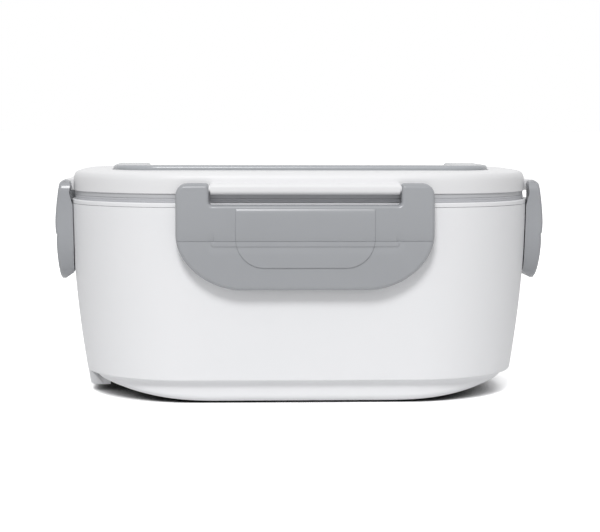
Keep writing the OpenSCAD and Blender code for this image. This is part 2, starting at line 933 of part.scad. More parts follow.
module handle_pins() {
  color("silver")
    for (side = [-1, 1])
      translate([side * (arm_inner + arm_width / 2), handle_pivot_y, handle_pivot_z])
        rotate([0, 90, 0])
          cylinder(h = 2 * pin_half, r = handle_pin, center = true);
}

// ---- Latches -------------------------------------------------------------

// Outer face of a latch, from its lower edge up to the round prong
function face_points(out) = concat(
  [for (t = [0:0.25:1])
    [bend(foot_out, latch_bulge - 0.7, latch_bulge - crease_sink, t) + out,
     bend(latch_foot + 1, crease_top - 11, crease_top - crease_height, t)]],
  [for (t = [0:0.25:1])
    [bend(latch_bulge - crease_sink, latch_bulge + 0.85, pivot_out + prong_radius, t) + out,
     bend(crease_top, crease_top + 9.5, pivot_z, t)]]
);

// Section of a latch without its round top, as [out from the rim, up] points
function latch_section() = concat(
  [[foot_out - foot_round, latch_foot]],
  face_points(0),
  [[pivot_out - prong_radius, pivot_z], [latch_gap, pivot_z - prong_radius - 1],
   [latch_gap, latch_foot + foot_rise]]
);

// Front outline of a latch: straight sides, then a round stretch to a flat foot
module latch_outline(half, inset) {
  top = latch_top - inset;
  foot = latch_foot + 2 * inset;
  side = half - inset;
  spread = half / 2 - inset;
  turn = pivot_z - 21;
  round_top = 5.5;
  power = 1.85;
  curve = [for (a = [0:7.5:90])
    [half / 2 + spread * pow(cos(a), 2 / power),
     turn - (turn - foot) * pow(sin(a), 2 / power)]];
  corner = [for (a = [90:-15:0])
    [side - round_top + round_top * cos(a), top - round_top + round_top * sin(a)]];
  right = concat(corner, curve);
  left = [for (p = reversed(right)) [-p[0], p[1]]];
  polygon(concat(right, left));
}

// The raised thumb pad in the middle of a latch
module pad_outline(half) {
  top = slot_foot - pad_margin;
  foot = crease_top - 12.3;
  corner = half * 0.42;
  translate([-half, foot + corner])
    square([2 * half, top - foot - corner]);
  translate([-half + corner, foot])
    square([2 * (half - corner), corner + 1]);
  for (side = [-1, 1])
    translate([side * (half - corner), foot + corner])
      circle(corner);
}

module section_bar(points, half) {
  rotate([90, 0, 90])
    linear_extrude(2 * half, center = true)
      polygon([for (p = points) [-p[0], p[1]]]);
}

module through_y(depth) {
  rotate([90, 0, 0])
    linear_extrude(2 * depth, center = true)
      children();
}

// A latch in the front position, measured out from the rim line at y = 0
module latch(half, slot_half, catch_half) {
  difference() {
    union() {
      difference() {
        intersection() {
          union() {
            section_bar(latch_section(), half);
            translate([0, -pivot_out, pivot_z])
              rotate([0, 90, 0])
                cylinder(h = 2 * half, r = prong_radius, center = true);
          }
          through_y(20)
            latch_outline(half, 0);
        }
        // Hollow behind the face
        intersection() {
          section_bar(concat(face_points(-latch_face),
                             [[-10, pivot_z], [-10, latch_foot + 1]]), half);
          through_y(20)
            latch_outline(half, latch_side);
          translate([-half, -20, latch_foot])
            cube([2 * half, 40, slot_foot - latch_side - latch_foot]);
        }
      }
      intersection() {
        section_bar(concat(face_points(pad_rise), [[2, pivot_z], [2, latch_foot + 1]]), half);
        difference() {
          through_y(20)
            pad_outline(slot_half * 0.7);
          translate([-half, -latch_bulge + latch_face, latch_foot])
            cube([2 * half, 20, latch_height]);
          section_bar(concat(face_points(-latch_face / 2),
                             [[-10, pivot_z], [-10, latch_foot + 1]]), half);
        }
      }
      // The bead that snaps in under the body's catch
      translate([-catch_half, -latch_bulge + latch_face / 2, bead_top - bead_height])
        cube([2 * catch_half, latch_bulge - latch_face / 2 - bead_out, bead_height]);
    }
    // The latch's foot stays clear of the catch
    translate([-catch_half - bead_gap, -bead_out, latch_foot - 1])
      cube([2 * (catch_half + bead_gap), bead_out, slot_foot - latch_side - latch_foot]);
    // Slot for the lid's hinge bar
    through_y(20) {
      translate([-slot_half, slot_foot + 1.6])
        square([2 * slot_half, 30]);
      translate([-slot_half + 1.6, slot_foot])
        square([2 * (slot_half - 1.6), 30]);
      for (side = [-1, 1])
        translate([side * (slot_half - 1.6), slot_foot + 1.6])
          circle(1.6);
    }
    translate([0, -pivot_out, pivot_z])
      rotate([0, 90, 0])
        cylinder(h = 2 * (slot_half + stub_length + 0.5), r = stub_radius + run_gap,
                 center = true);
  }
}

module long_latch() {
  latch(latch_half_long, slot_half_long, catch_half_long);
}

module short_latch() {
  latch(latch_half_short, slot_half_short, catch_half_short);
}

module latch_front() {
  color("gray")
    translate([0, -half_w, 0])
      long_latch();
}

module latch_back() {
  color("gray")
    rotate([0, 0, 180])
      translate([0, -half_w, 0])
        long_latch();
}

module latch_left() {
  color("gray")
    rotate([0, 0, 270])
      translate([0, -half_l, 0])
        short_latch();
}

module latch_right() {
  color("gray")
    rotate([0, 0, 90])
      translate([0, -half_l, 0])
        short_latch();
}

outer_shell();
inner_well();
heating_plate();
ptc_heater();
heater_clamp();
clamp_screws();
thermostat();
thermal_fuse();
insulation_board();
wiring();
mains_inlet();
car_inlet();
inlet_bezel();
base_cover();
base_screws();
rubber_feet();
food_container();
side_tray();
lid_shell();
lid_liner();
lid_seal();
vent_plug();
handle();
handle_pins();
latch_front();
latch_back();
latch_left();
latch_right();
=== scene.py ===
import math

import bmesh
import bpy
import numpy as np
from mathutils import Matrix, Vector


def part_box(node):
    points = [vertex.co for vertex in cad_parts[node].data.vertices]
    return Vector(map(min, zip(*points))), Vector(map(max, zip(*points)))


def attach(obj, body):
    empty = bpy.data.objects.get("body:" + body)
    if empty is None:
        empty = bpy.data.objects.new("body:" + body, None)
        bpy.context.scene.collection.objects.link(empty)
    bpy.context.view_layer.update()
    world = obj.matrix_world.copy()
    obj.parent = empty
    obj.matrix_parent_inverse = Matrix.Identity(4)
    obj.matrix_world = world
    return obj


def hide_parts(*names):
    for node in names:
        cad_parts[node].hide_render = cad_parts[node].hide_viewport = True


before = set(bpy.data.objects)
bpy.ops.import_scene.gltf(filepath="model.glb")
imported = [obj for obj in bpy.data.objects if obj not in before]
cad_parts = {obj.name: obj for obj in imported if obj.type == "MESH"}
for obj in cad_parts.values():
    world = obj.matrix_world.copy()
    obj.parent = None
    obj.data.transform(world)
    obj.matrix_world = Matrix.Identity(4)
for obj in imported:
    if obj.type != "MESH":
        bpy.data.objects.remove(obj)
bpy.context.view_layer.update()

# ---- Outer shell ---------------------------------------------------------
# The white body of the base: one injection-moulded polypropylene shell that leans in towards its
# foot. On the left it runs on below its own edge and forms the housing of the two inlets. The base
# cover's screws clamp it against the inner well.

MM = 0.001


def box_mm(node):
    """The two corners of a CAD node's box, in millimetres."""
    return [[v / MM for v in corner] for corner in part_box(node)]


def lin(hex_colour):
    """An sRGB hex colour as linear RGBA."""
    parts = [int(hex_colour[i:i + 2], 16) / 255 for i in (1, 3, 5)]
    return [v / 12.92 if v <= 0.04045 else ((v + 0.055) / 1.055) ** 2.4 for v in parts] + [1.0]


def feed(node, inputs):
    """Gives inputs of a node, named or numbered, a constant or a link from the socket given."""
    for key, value in inputs.items():
        if isinstance(value, bpy.types.NodeSocket):
            node.id_data.links.new(value, node.inputs[key])
        else:
            node.inputs[key].default_value = value


def add(owner, kind, inputs=None, **settings):
    """Adds a node, with its settings and inputs, to a material, a world or a node tree."""
    made = getattr(owner, "node_tree", owner).nodes.new(kind)
    for name, value in settings.items():
        setattr(made, name, value)
    feed(made, inputs or {})
    return made


def new_material(name):
    """A node material with its output: gives it, its Principled shader and object coordinates."""
    material = bpy.data.materials.new(name)
    material.use_nodes = True
    material.node_tree.nodes.clear()
    shader = add(material, "ShaderNodeBsdfPrincipled")
    add(material, "ShaderNodeOutputMaterial", {"Surface": shader.outputs["BSDF"]})
    return material, shader, add(material, "ShaderNodeTexCoord").outputs["Object"]


def noise(owner, place, scale, detail=2.0, roughness=0.5):
    """The value of a noise texture."""
    return add(owner, "ShaderNodeTexNoise", {"Vector": place, "Scale": scale, "Detail": detail,
                                             "Roughness": roughness}).outputs["Fac"]


def between(owner, value, low, high, start=0.0, end=1.0):
    """A value that runs from start to end, mapped so that it runs from low to high."""
    return add(owner, "ShaderNodeMapRange", {"Value": value, "From Min": start, "From Max": end,
                                             "To Min": low, "To Max": high}).outputs["Result"]


def maths(owner, how, *values):
    """The result of a maths operation on values."""
    return add(owner, "ShaderNodeMath", dict(enumerate(values)), operation=how).outputs["Value"]


def tones(owner, value, colours, places=(0.0, 1.0)):
    """The colour that a value picks between two colours."""
    made = add(owner, "ShaderNodeValToRGB", {"Fac": value})
    for stop, place, colour in zip(made.color_ramp.elements, places, colours):
        stop.position, stop.color = place, lin(colour)
    return made.outputs["Color"]


def raised(owner, value, depth):
    """The normal of a surface that a value raises, to a depth in micrometres."""
    return add(owner, "ShaderNodeBump", {"Height": value, "Strength": 1.0,
                                         "Distance": depth * 1e-6}).outputs["Normal"]


def moulded(name, light, dark, rough, peel_mm, peel, drift_mm=40.0, **constants):
    """A moulded plastic: a slow drift between two close tones, and the faint waviness that a
    polished mould leaves, with a grain of peel_mm and a depth of peel (in micrometres). The
    constants are further inputs of its shader, with _ for a space."""
    material, shader, place = new_material(name)
    drift = noise(material, place, 1 / (drift_mm * MM), 3.0, 0.55)
    wear = noise(material, place, 1 / (6 * MM), 4.0, 0.6)
    grain = noise(material, place, 1 / (peel_mm * MM))
    feed(shader, {"Base Color": tones(material, drift, (dark, light)),
                  "Roughness": between(material, wear, rough - 0.03, rough + 0.04),
                  "Normal": raised(material, grain, peel)})
    feed(shader, {key.replace("_", " "): value for key, value in constants.items()})
    return material


def rim_line(x0, x1, y0, y1, radii):
    """The stretches of a rounded rectangle, anticlockwise from the middle of its front: for each
    its length and a function that gives the point and the outward normal at a distance along it."""
    fr, br, bl, fl = radii
    middle = (x0 + fl + x1 - fr) / 2

    def line(x, y, dx, dy, length):
        return length, lambda t: (x + dx * t, y + dy * t, dy, -dx)

    def arc(x, y, radius, start):
        def at(t):
            angle = math.radians(start) + t / radius
            return (x + radius * math.cos(angle), y + radius * math.sin(angle),
                    math.cos(angle), math.sin(angle))
        return radius * math.pi / 2, at

    return [
        line(middle, y0, 1, 0, x1 - fr - middle), arc(x1 - fr, y0 + fr, fr, -90),
        line(x1, y0 + fr, 0, 1, y1 - br - y0 - fr), arc(x1 - br, y1 - br, br, 0),
        line(x1 - br, y1, -1, 0, x1 - br - x0 - bl), arc(x0 + bl, y1 - bl, bl, 90),
        line(x0, y1 - bl, 0, -1, y1 - bl - y0 - fl), arc(x0 + fl, y0 + fl, fl, 180),
        line(x0 + fl, y0, 1, 0, middle - x0 - fl),
    ]


def stations(step, marks=()):
    """Distances round the rim line at which a piece gets a section, the marked ones among them."""
    found, start = [], 0.0
    for length, _ in body_line:
        count = max(1, math.ceil(length / step))
        found += [start + length * k / count for k in range(count)]
        start += length
    found = [s for s in found if all(abs(s - m) > 0.2 for m in marks)]
    return sorted(found + list(marks))


def place_at(distance):
    """The point and the outward normal at a distance round the rim line."""
    for length, at in body_line:
        if distance <= length + 1e-9:
            return at(distance)
        distance -= length
    return body_line[0][1](0.0)


def fillet(points, steps=4):
    """An outline or section with its corners rounded. Each point is (a, b) or (a, b, radius)."""
    rounded = []
    for i, point in enumerate(points):
        if len(point) == 2 or point[2] == 0:
            rounded.append(tuple(point[:2]))
            continue
        here, radius = Vector(point[:2]), point[2]
        back = (Vector(points[i - 1][:2]) - here).normalized()
        ahead = (Vector(points[(i + 1) % len(points)][:2]) - here).normalized()
        half = math.acos(max(-1.0, min(1.0, back.dot(ahead)))) / 2
        centre = here + (back + ahead).normalized() * (radius / math.sin(half))
        first = (here + back * (radius / math.tan(half)) - centre).normalized()
        last = (here + ahead * (radius / math.tan(half)) - centre).normalized()
        rounded += [tuple(centre + first.slerp(last, k / steps) * radius)
                    for k in range(steps + 1)]
    return rounded


def tidy(verts, faces, merge=0.002):
    """A bmesh of these millimetre points and faces: doubles merged, faces turned outwards."""
    bm = bmesh.new()
    made = [bm.verts.new((x * MM, y * MM, z * MM)) for x, y, z in verts]
    for face in faces:
        corners = [made[i] for i in face]
        if len(set(corners)) > 2:
            bm.faces.new(corners)
    bmesh.ops.remove_doubles(bm, verts=bm.verts, dist=merge * MM)
    bmesh.ops.dissolve_degenerate(bm, edges=bm.edges, dist=merge * MM / 4)
    bmesh.ops.recalc_face_normals(bm, faces=bm.faces)
    return bm


def bands(rows, count, closed=True, looped=False):
    """Faces between rows of count points. A row may be closed, and the rows may form a loop."""
    faces = []
    for j in range(rows if looped else rows - 1):
        a, b = j * count, (j + 1) % rows * count
        faces += [(a + k, b + k, b + (k + 1) % count, a + (k + 1) % count)
                  for k in range(count if closed else count - 1)]
    return faces


def loft(places, sections, closed=True, caps=False):
    """A ring through one section at each place round a line. A section's points are (out, up);
    open sections may end in a flat cap at each end."""
    verts, count, total = [], len(sections[0]), len(places)
    for (x, y, nx, ny), section in zip(places, sections):
        verts += [(x + nx * out, y + ny * out, up) for out, up in section]
    faces = bands(total, count, closed, looped=True)
    if caps:
        faces += [[i * count + end for i in range(total)] for end in (0, count - 1)]
    return tidy(verts, faces)


def as_object(name, bm, material):
    """A mesh object at the origin with one material."""
    mesh = bpy.data.meshes.new(name)
    bm.to_mesh(mesh)
    bm.free()
    piece = bpy.data.objects.new(name, mesh)
    bpy.context.scene.collection.objects.link(piece)
    mesh.materials.append(material)
    return piece


def swept(name, section, material, step, closed=False):
    """A piece that follows the rim line. section is one section, or gives the one for a place."""
    places = [place_at(s) for s in stations(step)]
    sections = [section(place) if callable(section) else section for place in places]
    return as_object(name, loft(places, sections, closed, caps=not closed), material)


def settle(piece):
    """Turns the evaluated object into a plain mesh and removes its modifiers."""
    graph = bpy.context.evaluated_depsgraph_get()
    graph.update()
    mesh = bpy.data.meshes.new_from_object(piece.evaluated_get(graph))
    piece.modifiers.clear()
    old = piece.data
    piece.data = mesh
    mesh.name = piece.name
    bpy.data.meshes.remove(old)


def combine(piece, how, *tools):
    """Cuts tools out of a piece (DIFFERENCE) or joins them on (UNION), one after another."""
    for bm in tools:
        tool = as_object("tool", bm, piece.data.materials[0])
        boolean = piece.modifiers.new("combine", "BOOLEAN")
        boolean.operation, boolean.solver, boolean.object = how, "EXACT", tool
        settle(piece)
        bpy.data.objects.remove(tool)


def stack(rings, put=lambda a, b, depth: (a, b, depth)):
    """A closed solid through (outline, depth) rings; put turns a, b and depth into a place."""
    n, rows = len(rings[0][0]), len(rings)
    verts = [put(a, b, depth) for outline, depth in rings for a, b in outline]
    return tidy(verts, bands(rows, n) + [list(range(n)), list(range(n * (rows - 1), n * rows))])


def prism(outline, low, high, along=2):
    """An outline pulled along an axis (0 to 2) from one place to another."""
    place = [lambda a, b, c: (c, a, b), lambda a, b, c: (a, c, b), lambda a, b, c: (a, b, c)]
    return stack([(outline, low), (outline, high)], place[along])


def oblong(a0, b0, a1, b1, radii, steps=5):
    """A rectangle from one corner to the other, each of its corners rounded with its radius."""
    return fillet(list(zip((a0, a1, a1, a0), (b0, b0, b1, b1), radii)), steps)


def block(low, high, radius=0.0, along=0, steps=5):
    """A box given by two corners, with rounded edges along one axis."""
    (a0, b0), (a1, b1) = [[p[i] for i in range(3) if i != along] for p in (low, high)]
    outline = oblong(a0, b0, a1, b1, [radius] * 4, steps)
    return prism(outline, low[along], high[along], along)


def circle(a, b, radius, sides):
    """Points round a circle."""
    return [(a + radius * math.cos(t), b + radius * math.sin(t))
            for t in [2 * math.pi * k / sides for k in range(sides)]]


def rod(start, radius, length, along=2, sides=48):
    """A cylinder that starts at a point and runs along an axis."""
    outline = circle(*[start[i] for i in range(3) if i != along], radius, sides)
    return prism(outline, start[along], start[along] + length, along)


def turned(radius, steps):
    """How far a rounded edge stands in and up, from flat to upright."""
    return [(radius * (1 - math.sin(a)), radius * (1 - math.cos(a)))
            for a in [math.pi / 2 * k / steps for k in range(steps + 1)]]


def together(parts):
    """One bmesh from several."""
    whole, mesh = bmesh.new(), bpy.data.meshes.new("part")
    for part in parts:
        part.to_mesh(mesh)
        part.free()
        whole.from_mesh(mesh)
    bpy.data.meshes.remove(mesh)
    return whole


def fit(piece, body, slot, *nodes, angle=32):
    """Finishes a piece: smooth but for edges sharper than the angle, riding on its body, and with
    the CAD nodes that it stands for hidden. Its slot is not used."""
    piece.data.shade_smooth()
    piece.data.set_sharp_from_angle(angle=math.radians(angle))
    weighted = piece.modifiers.new("weighted_normals", "WEIGHTED_NORMAL")
    weighted.keep_sharp, weighted.weight = True, 80
    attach(piece, body)
    if nodes:
        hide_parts(*nodes)


# White polypropylene copolymer, moulded in a polished steel tool: satin bright and faintly wavy
white_pp = moulded("moulded_polypropylene_white", "#f1f1f3", "#eeeff1", 0.42, 1.6, 5, IOR=1.49,
                   Specular_IOR_Level=0.22)

half_l, half_w, rim_z = box_mm("inner_well")[1]
corner_r, wall_lean = 59.0, 7.0
wall_foot = box_mm("base_cover")[1][2]
housing_foot = box_mm("outer_shell")[0][2]
rim_band, flange_gap = 2.0, 0.12
shell_wall, foot_ledge, ledge_thick = 2.2, 8.5, 2.0
housing_half, cheek_round, foot_round = 25.4, 6.0, 0.8
wall_steps = 18
body_line = rim_line(-half_l, half_l, -half_w, half_w, [corner_r] * 4)
left = sum(length for length, _ in body_line) * 3 / 4


def lean(z):
    """How far the wall stands in from the rim line at a height (negative is inwards)."""
    return -wall_lean * ((rim_z - z) / (rim_z - wall_foot)) ** 2


def ease(t):
    """A soft step from 0 to 1."""
    t = max(0.0, min(1.0, t))
    return t * t * (3 - 2 * t)


def shell_section(to_cheek):
    """The shell's section. to_cheek is the distance in from the housing's nearer cheek, or None
    where there is no housing."""
    top = rim_z - rim_band - flange_gap
    foot = wall_foot + foot_round
    outer = [(lean(z), z) for z in
             [foot + (top - 0.3 - wall_foot - foot_round) * k / wall_steps
              for k in range(wall_steps + 1)]]
    rim = [(-0.1, top - 0.1), (-0.35, top), (-shell_wall, top)]
    inner = [(lean(z) - shell_wall, z) for z in
             [top + (wall_foot + ledge_thick - top) * k / 6 for k in range(1, 7)]]
    ledge_in = lean(wall_foot) - shell_wall - foot_ledge
    ledge = [(ledge_in, wall_foot + ledge_thick), (ledge_in, wall_foot)]
    low = housing_foot if to_cheek is not None else wall_foot
    side = 0.0
    if to_cheek is not None and to_cheek < cheek_round:
        side = cheek_round - math.sqrt(cheek_round ** 2 - (cheek_round - to_cheek) ** 2)
    under = [(ledge_in, wall_foot + (low - wall_foot) * k / 3) for k in range(1, 4)]
    reach = lean(low + foot_round) - side
    under += [(ledge_in + (reach - foot_round - ledge_in) * k / 4, low) for k in range(1, 4)]
    turn = [(reach - inset, low + up) for inset, up in turned(foot_round, 4)]
    rise = [(lean(z) - side * ease((foot - z) / 4), z) for z in
            [low + foot_round + (wall_foot - low) * k / 8 for k in range(1, 8)]]
    return outer + rim + inner + ledge + under + turn + rise


# Sections stand closer together where the housing's cheeks turn, and double at the cheeks
cheeks = {left + sign * (housing_half - inset): inset
          for sign in (-1, 1) for inset in (0.0, 0.4, 1.2, 2.4, 4.0, 6.0)}
shell_places, shell_sections = [], []
for s in stations(2.5, cheeks):
    if cheeks.get(s) == 0.0:
        pair = [shell_section(None), shell_section(0.0)]
        shell_sections += pair if s < left else pair[::-1]
        shell_places += [place_at(s)] * 2
    else:
        inside = abs(s - left) < housing_half - 0.1
        shell_sections.append(shell_section(housing_half - abs(s - left) if inside else None))
        shell_places.append(place_at(s))
outer_shell = as_object("body_shell", loft(shell_places, shell_sections), white_pp)

bezel_low, bezel_high = box_mm("inlet_bezel")
seat_gap, seat_round = 0.12, 1.6
combine(outer_shell, "DIFFERENCE", block(
    (-half_l - 5, bezel_low[1] - seat_gap, bezel_low[2] - seat_gap),
    (bezel_high[0] + 0.1, bezel_high[1] + seat_gap, bezel_high[2] + seat_gap), seat_round))

# Each side's latch: quarter turns from the front, distance of the rim line, and the half widths of
# the latch, of the slot round its hinge bar and of its catch
latch_sides = {"front": (0, half_w, 58.5, 43.5, 29.75), "back": (2, half_w, 58.5, 43.5, 29.75),
               "left": (3, half_l, 31.0, 21.5, 11.75), "right": (1, half_l, 31.0, 21.5, 11.75)}


def bar_of(section, half, quarters, reach):
    """A straight bar with an (out, up) section along one side of the box."""
    def put(out, up, x):
        y = -reach - out
        for _ in range(quarters):
            x, y = -y, x
        return x, y, up
    return stack([(section, -half), (section, half)], put)


# Catches for the latches: low ledges, level underneath and sloped on top
catch_low, catch_root, catch_out, catch_tall = 82.5, -1.2, 2.6, 4.0
catch_section = fillet([(catch_root, catch_low), (catch_out, catch_low, 0.4),
                        (catch_out, catch_low + catch_tall / 2, 0.5),
                        (catch_root, catch_low + catch_tall)])
combine(outer_shell, "UNION", together([
    bar_of(catch_section, catch, quarters, reach)
    for quarters, reach, _, _, catch in latch_sides.values()]))
fit(outer_shell, "base", "white_shell", "outer_shell")

# ---- Inner well ----------------------------------------------------------
# The white tub that holds the steel container, moulded in the same polypropylene. Its flange caps
# the shell and is the thin bright strip below the seal, which presses on the flange's flat top.

flange_land, flange_in = 5.2, -2.6
seat_z = rim_z - 1.9
well_mouth, well_foot = -8.6, -16.4
well_floor, well_wall, floor_thick = 24.0, 1.8, 2.0
window_in = -34.0
well_section = fillet([
    (window_in, well_floor), (well_foot, well_floor, 3.0), (well_mouth, seat_z, 0.4),
    (-flange_land, seat_z), (-flange_land, rim_z, 0.3), (0.0, rim_z, 0.55),
    (0.0, rim_z - rim_band, 0.2), (flange_in, rim_z - rim_band),
    (flange_in, seat_z - well_wall, 0.5), (well_mouth + well_wall, seat_z - well_wall),
    (well_foot + well_wall, well_floor - floor_thick, 1.0),
    (window_in, well_floor - floor_thick)], 5)
fit(swept("inner_well_tub", well_section, white_pp, 4.0), "base", "white_shell", "inner_well")

# ---- Base cover ----------------------------------------------------------
# The white boat-shaped cover that closes the base from below, moulded in polypropylene. It is set
# back from the shell, its underside curves up at both ends, and four screws from below hold it.

skirt_out, skirt_draft, cover_wall, seam = -9.4, 1.6, 2.0, 0.02
skirt_gap = box_mm("base_cover")[0][2]
keel_flat, keel_r, keel_round = half_l - 70.0, 220.0, 3.2


def keel(x):
    """Height of the underside at a distance along the box."""
    past = max(0.0, abs(x) - keel_flat)
    return skirt_gap + keel_r - math.sqrt(keel_r ** 2 - past ** 2)


def cover_section(place):
    """Open section from the middle of the underside, out round its edge, up, and back inside."""
    x, _, nx, _ = place
    side_low = skirt_out - skirt_draft

    def under(out, lift=0.0):
        return out, min(keel(x + nx * out) + lift, wall_foot - 0.3)

    foot = under(side_low)[1]
    turn = min(keel_round, (wall_foot - foot) * 0.6)
    section = [under(out) for out in (-58, -45, -34, -26, -20, -16.5)]
    section += [(side_low - inset, foot + up) for inset, up in turned(turn, 5)]
    section += [(side_low + 0.25, foot + (wall_foot - foot) * 0.7), (skirt_out, wall_foot - seam),
                (skirt_out - cover_wall, wall_foot - seam),
                (side_low - cover_wall, min(foot + turn + cover_wall, wall_foot - 0.05))]
    return section + [under(out, cover_wall) for out in (-19, -26, -34, -45, -58)]


def at_corners(x, y, z, radius, length):
    """Four rods, one in each quarter of the cover."""
    return together([rod((sx * x, sy * y, z), radius, length) for sx in (-1, 1) for sy in (-1, 1)])


base_cover = swept("base_cover_pan", cover_section, white_pp, 2.5)
screw_high = box_mm("base_screws")[1]
foot_high = box_mm("rubber_feet")[1]
screw_head, foot_r = 2.7, 6.0
screw_x, screw_y = screw_high[0] - screw_head, screw_high[1] - screw_head
foot_x, foot_y = foot_high[0] - foot_r, foot_high[1] - foot_r
post_foot, post_top, post_wall, head_seat = 3.0, 8.0, 2.0, 5.4
room_half, room_top = 24.3, 13
housing_in = lean(wall_foot) - shell_wall - foot_ledge
combine(base_cover, "UNION", at_corners(screw_x, screw_y, post_foot, screw_head + post_wall,
                                        post_top - post_foot))
combine(base_cover, "DIFFERENCE",
        at_corners(screw_x, screw_y, -1, screw_head + 0.2, head_seat + 1),
        at_corners(foot_x, foot_y, -1, foot_r + 0.1, foot_high[2] + 1),
        block((-half_l, -room_half, -1), (-half_l - housing_in + 0.1, room_half, room_top), 1.0, 2))
fit(base_cover, "base", "white_shell", "base_cover")

# ---- Lid shell -----------------------------------------------------------
# The white cover of the lid, moulded in polypropylene, with a low crown and a rounded shoulder.
# Each side carries a hinge bar for its latch; the top has a sunk bed for the handle and a seat for
# the vent.

# The lid's polypropylene is a shade softer than the body's
lid_pp = moulded("moulded_polypropylene_soft_white", "#ececed", "#e9e9eb", 0.40, 1.6, 5, IOR=1.49,
                 Specular_IOR_Level=0.3)

lid_low, lid_high = box_mm("lid_shell")
lid_foot, lid_top = lid_low[2], lid_high[2]
lid_inset, lid_wall = 0.8, 2.2
handle_low, handle_high = box_mm("handle")
handle_half, handle_front, handle_top = handle_high[0], -handle_low[1], handle_high[2]
barrel_r, barrel_top = 2.9, 5.1
pivot_y, pivot_z = 4.0, handle_top - barrel_top
arm_width, bar_width, handle_corner, arm_corner = 16.0, 13.0, 22.0, 10.0
arm_mid = handle_half - arm_width / 2
handle_thick, pocket_gap, bed_wall = 4.0, 0.6, 1.8
vent_y, vent_hole, vent_seat, vent_wall = 36.0, 2.9, 7.8, 2.1
middle_in = -57.0  # a section ends here, near the middle, and a flat cap closes the rest


def spline(points, steps=4):
    """A smooth curve through the points."""
    curve = []
    for i in range(len(points) - 1):
        p0, p1 = Vector(points[max(i - 1, 0)]), Vector(points[i])
        p2, p3 = Vector(points[i + 1]), Vector(points[min(i + 2, len(points) - 1)])
        for t in [k / steps for k in range(steps)]:
            bent = (2 * p0 - 5 * p1 + 4 * p2 - p3) * t * t + (3 * p1 - p0 - 3 * p2 + p3) * t ** 3
            curve.append(tuple(0.5 * (2 * p1 + (p2 - p0) * t + bent)))
    return curve + [tuple(points[-1])]


def handle_plan(gap, rear, inner_corner):
    """Plan of the U-shaped handle with a gap around it; a gap below 0 takes the plan in."""
    out, inn = handle_half + gap, handle_half - arm_width - gap
    front, back = -handle_front - gap, -handle_front + bar_width + gap
    return fillet([(-out, rear), (-out, front, handle_corner + gap),
                   (out, front, handle_corner + gap), (out, rear), (inn, rear),
                   (inn, back, inner_corner), (-inn, back, inner_corner), (-inn, rear)], 14)


def handle_room(gap, lower, top, ahead, behind, corner):
    """Solids that fill the handle's bed, or stand round it: the plan of the plate, and for each
    arm's end a well that reaches ahead of and behind the pivot. lower is how far they go below
    the bed."""
    wells = [block((sx * arm_mid - arm_width / 2 - gap, pivot_y - ahead, well_low_z - lower),
                   (sx * arm_mid + arm_width / 2 + gap, pivot_y + behind, top), corner, 2)
             for sx in (-1, 1)]
    rear = pivot_y + pocket_gap
    return [prism(handle_plan(gap, rear, arm_corner), bed_floor - lower, top)] + wells


shoulder = [(0.0, -7.0), (-0.06, -5.0), (-0.2, -3.6), (-0.6, -2.4), (-1.2, -1.5), (-2.2, -0.9),
            (-3.8, -0.5), (-7.0, -0.2), (-20.0, 0.0), (middle_in, 0.0)]
lid_skin = [(-lid_inset + out, lid_top + up) for out, up in spline(shoulder)]
lid_under = [(middle_in, 0.0), (-20.0, 0.0), (-8.5, -0.3), (-5.0, -1.2), (-3.2, -3.0)]
lid_section = [(out, lid_top - lid_wall + up) for out, up in lid_under]
lid_section += [(-lid_inset - lid_wall, lid_foot + 2), (-lid_inset - lid_wall, lid_foot),
                (-lid_inset - 0.3, lid_foot), (-lid_inset, lid_foot + 0.3)] + lid_skin
lid_shell = swept("lid_shell_cover", lid_section, lid_pp, 2.5)

bar_root, bar_out, bar_tall, bar_round = -lid_inset - 1.0, 5.3, 5.0, 1.9
hinge_out, hinge_z, stub_r = 2.8, lid_foot + 2.5, 1.6
bar_section = oblong(bar_root, lid_foot, bar_out, lid_foot + bar_tall,
                     (0, bar_round, bar_round, 0), 6)
stub_section = circle(hinge_out, hinge_z, stub_r, 24)
bar_past, stub_past = -0.7, 7.0
for section, past in ((bar_section, bar_past), (stub_section, stub_past)):
    combine(lid_shell, "UNION", together([
        bar_of(section, slot + past, quarters, reach)
        for quarters, reach, _, slot, _ in latch_sides.values()]))

well_low_z = pivot_z - barrel_r - pocket_gap
bed_floor = handle_top - handle_thick - 0.2
combine(lid_shell, "UNION",
        *handle_room(pocket_gap + bed_wall, bed_wall, lid_top - 1.0, ahead=6.4, behind=9.4,
                     corner=1.5),
        rod((0, vent_y, lid_top - 4.0), vent_seat + vent_wall, 2.5))
combine(lid_shell, "DIFFERENCE",
        *handle_room(pocket_gap, 0.0, lid_top + 5, ahead=3.9, behind=6.7, corner=1.2),
        rod((0, vent_y, lid_top - 1.8), vent_seat, 5, sides=96),
        rod((0, vent_y, lid_foot - 1), vent_hole, 20))
fit(lid_shell, "lid", "white_shell", "lid_shell", angle=35)

# ---- Liner plate and seal ------------------------------------------------
# The pale grey plate that closes the lid from below, moulded in polypropylene and pressed into the
# shell, and the translucent grey silicone ring under its edge. Together they show as the band below
# the lid.

grey_pp = moulded("moulded_polypropylene_pale_grey", "#c2c3c6", "#bcbdc0", 0.36, 1.2, 5)

# Silicone rubber: soft and slightly translucent, so light spreads a little below its surface
silicone = moulded("silicone_rubber_pale_grey", "#c2c3c7", "#bcbdc1", 0.5, 0.5, 4,
                   Subsurface_Weight=0.25, Subsurface_Radius=(0.0012, 0.0012, 0.0012),
                   Subsurface_Scale=1.0)

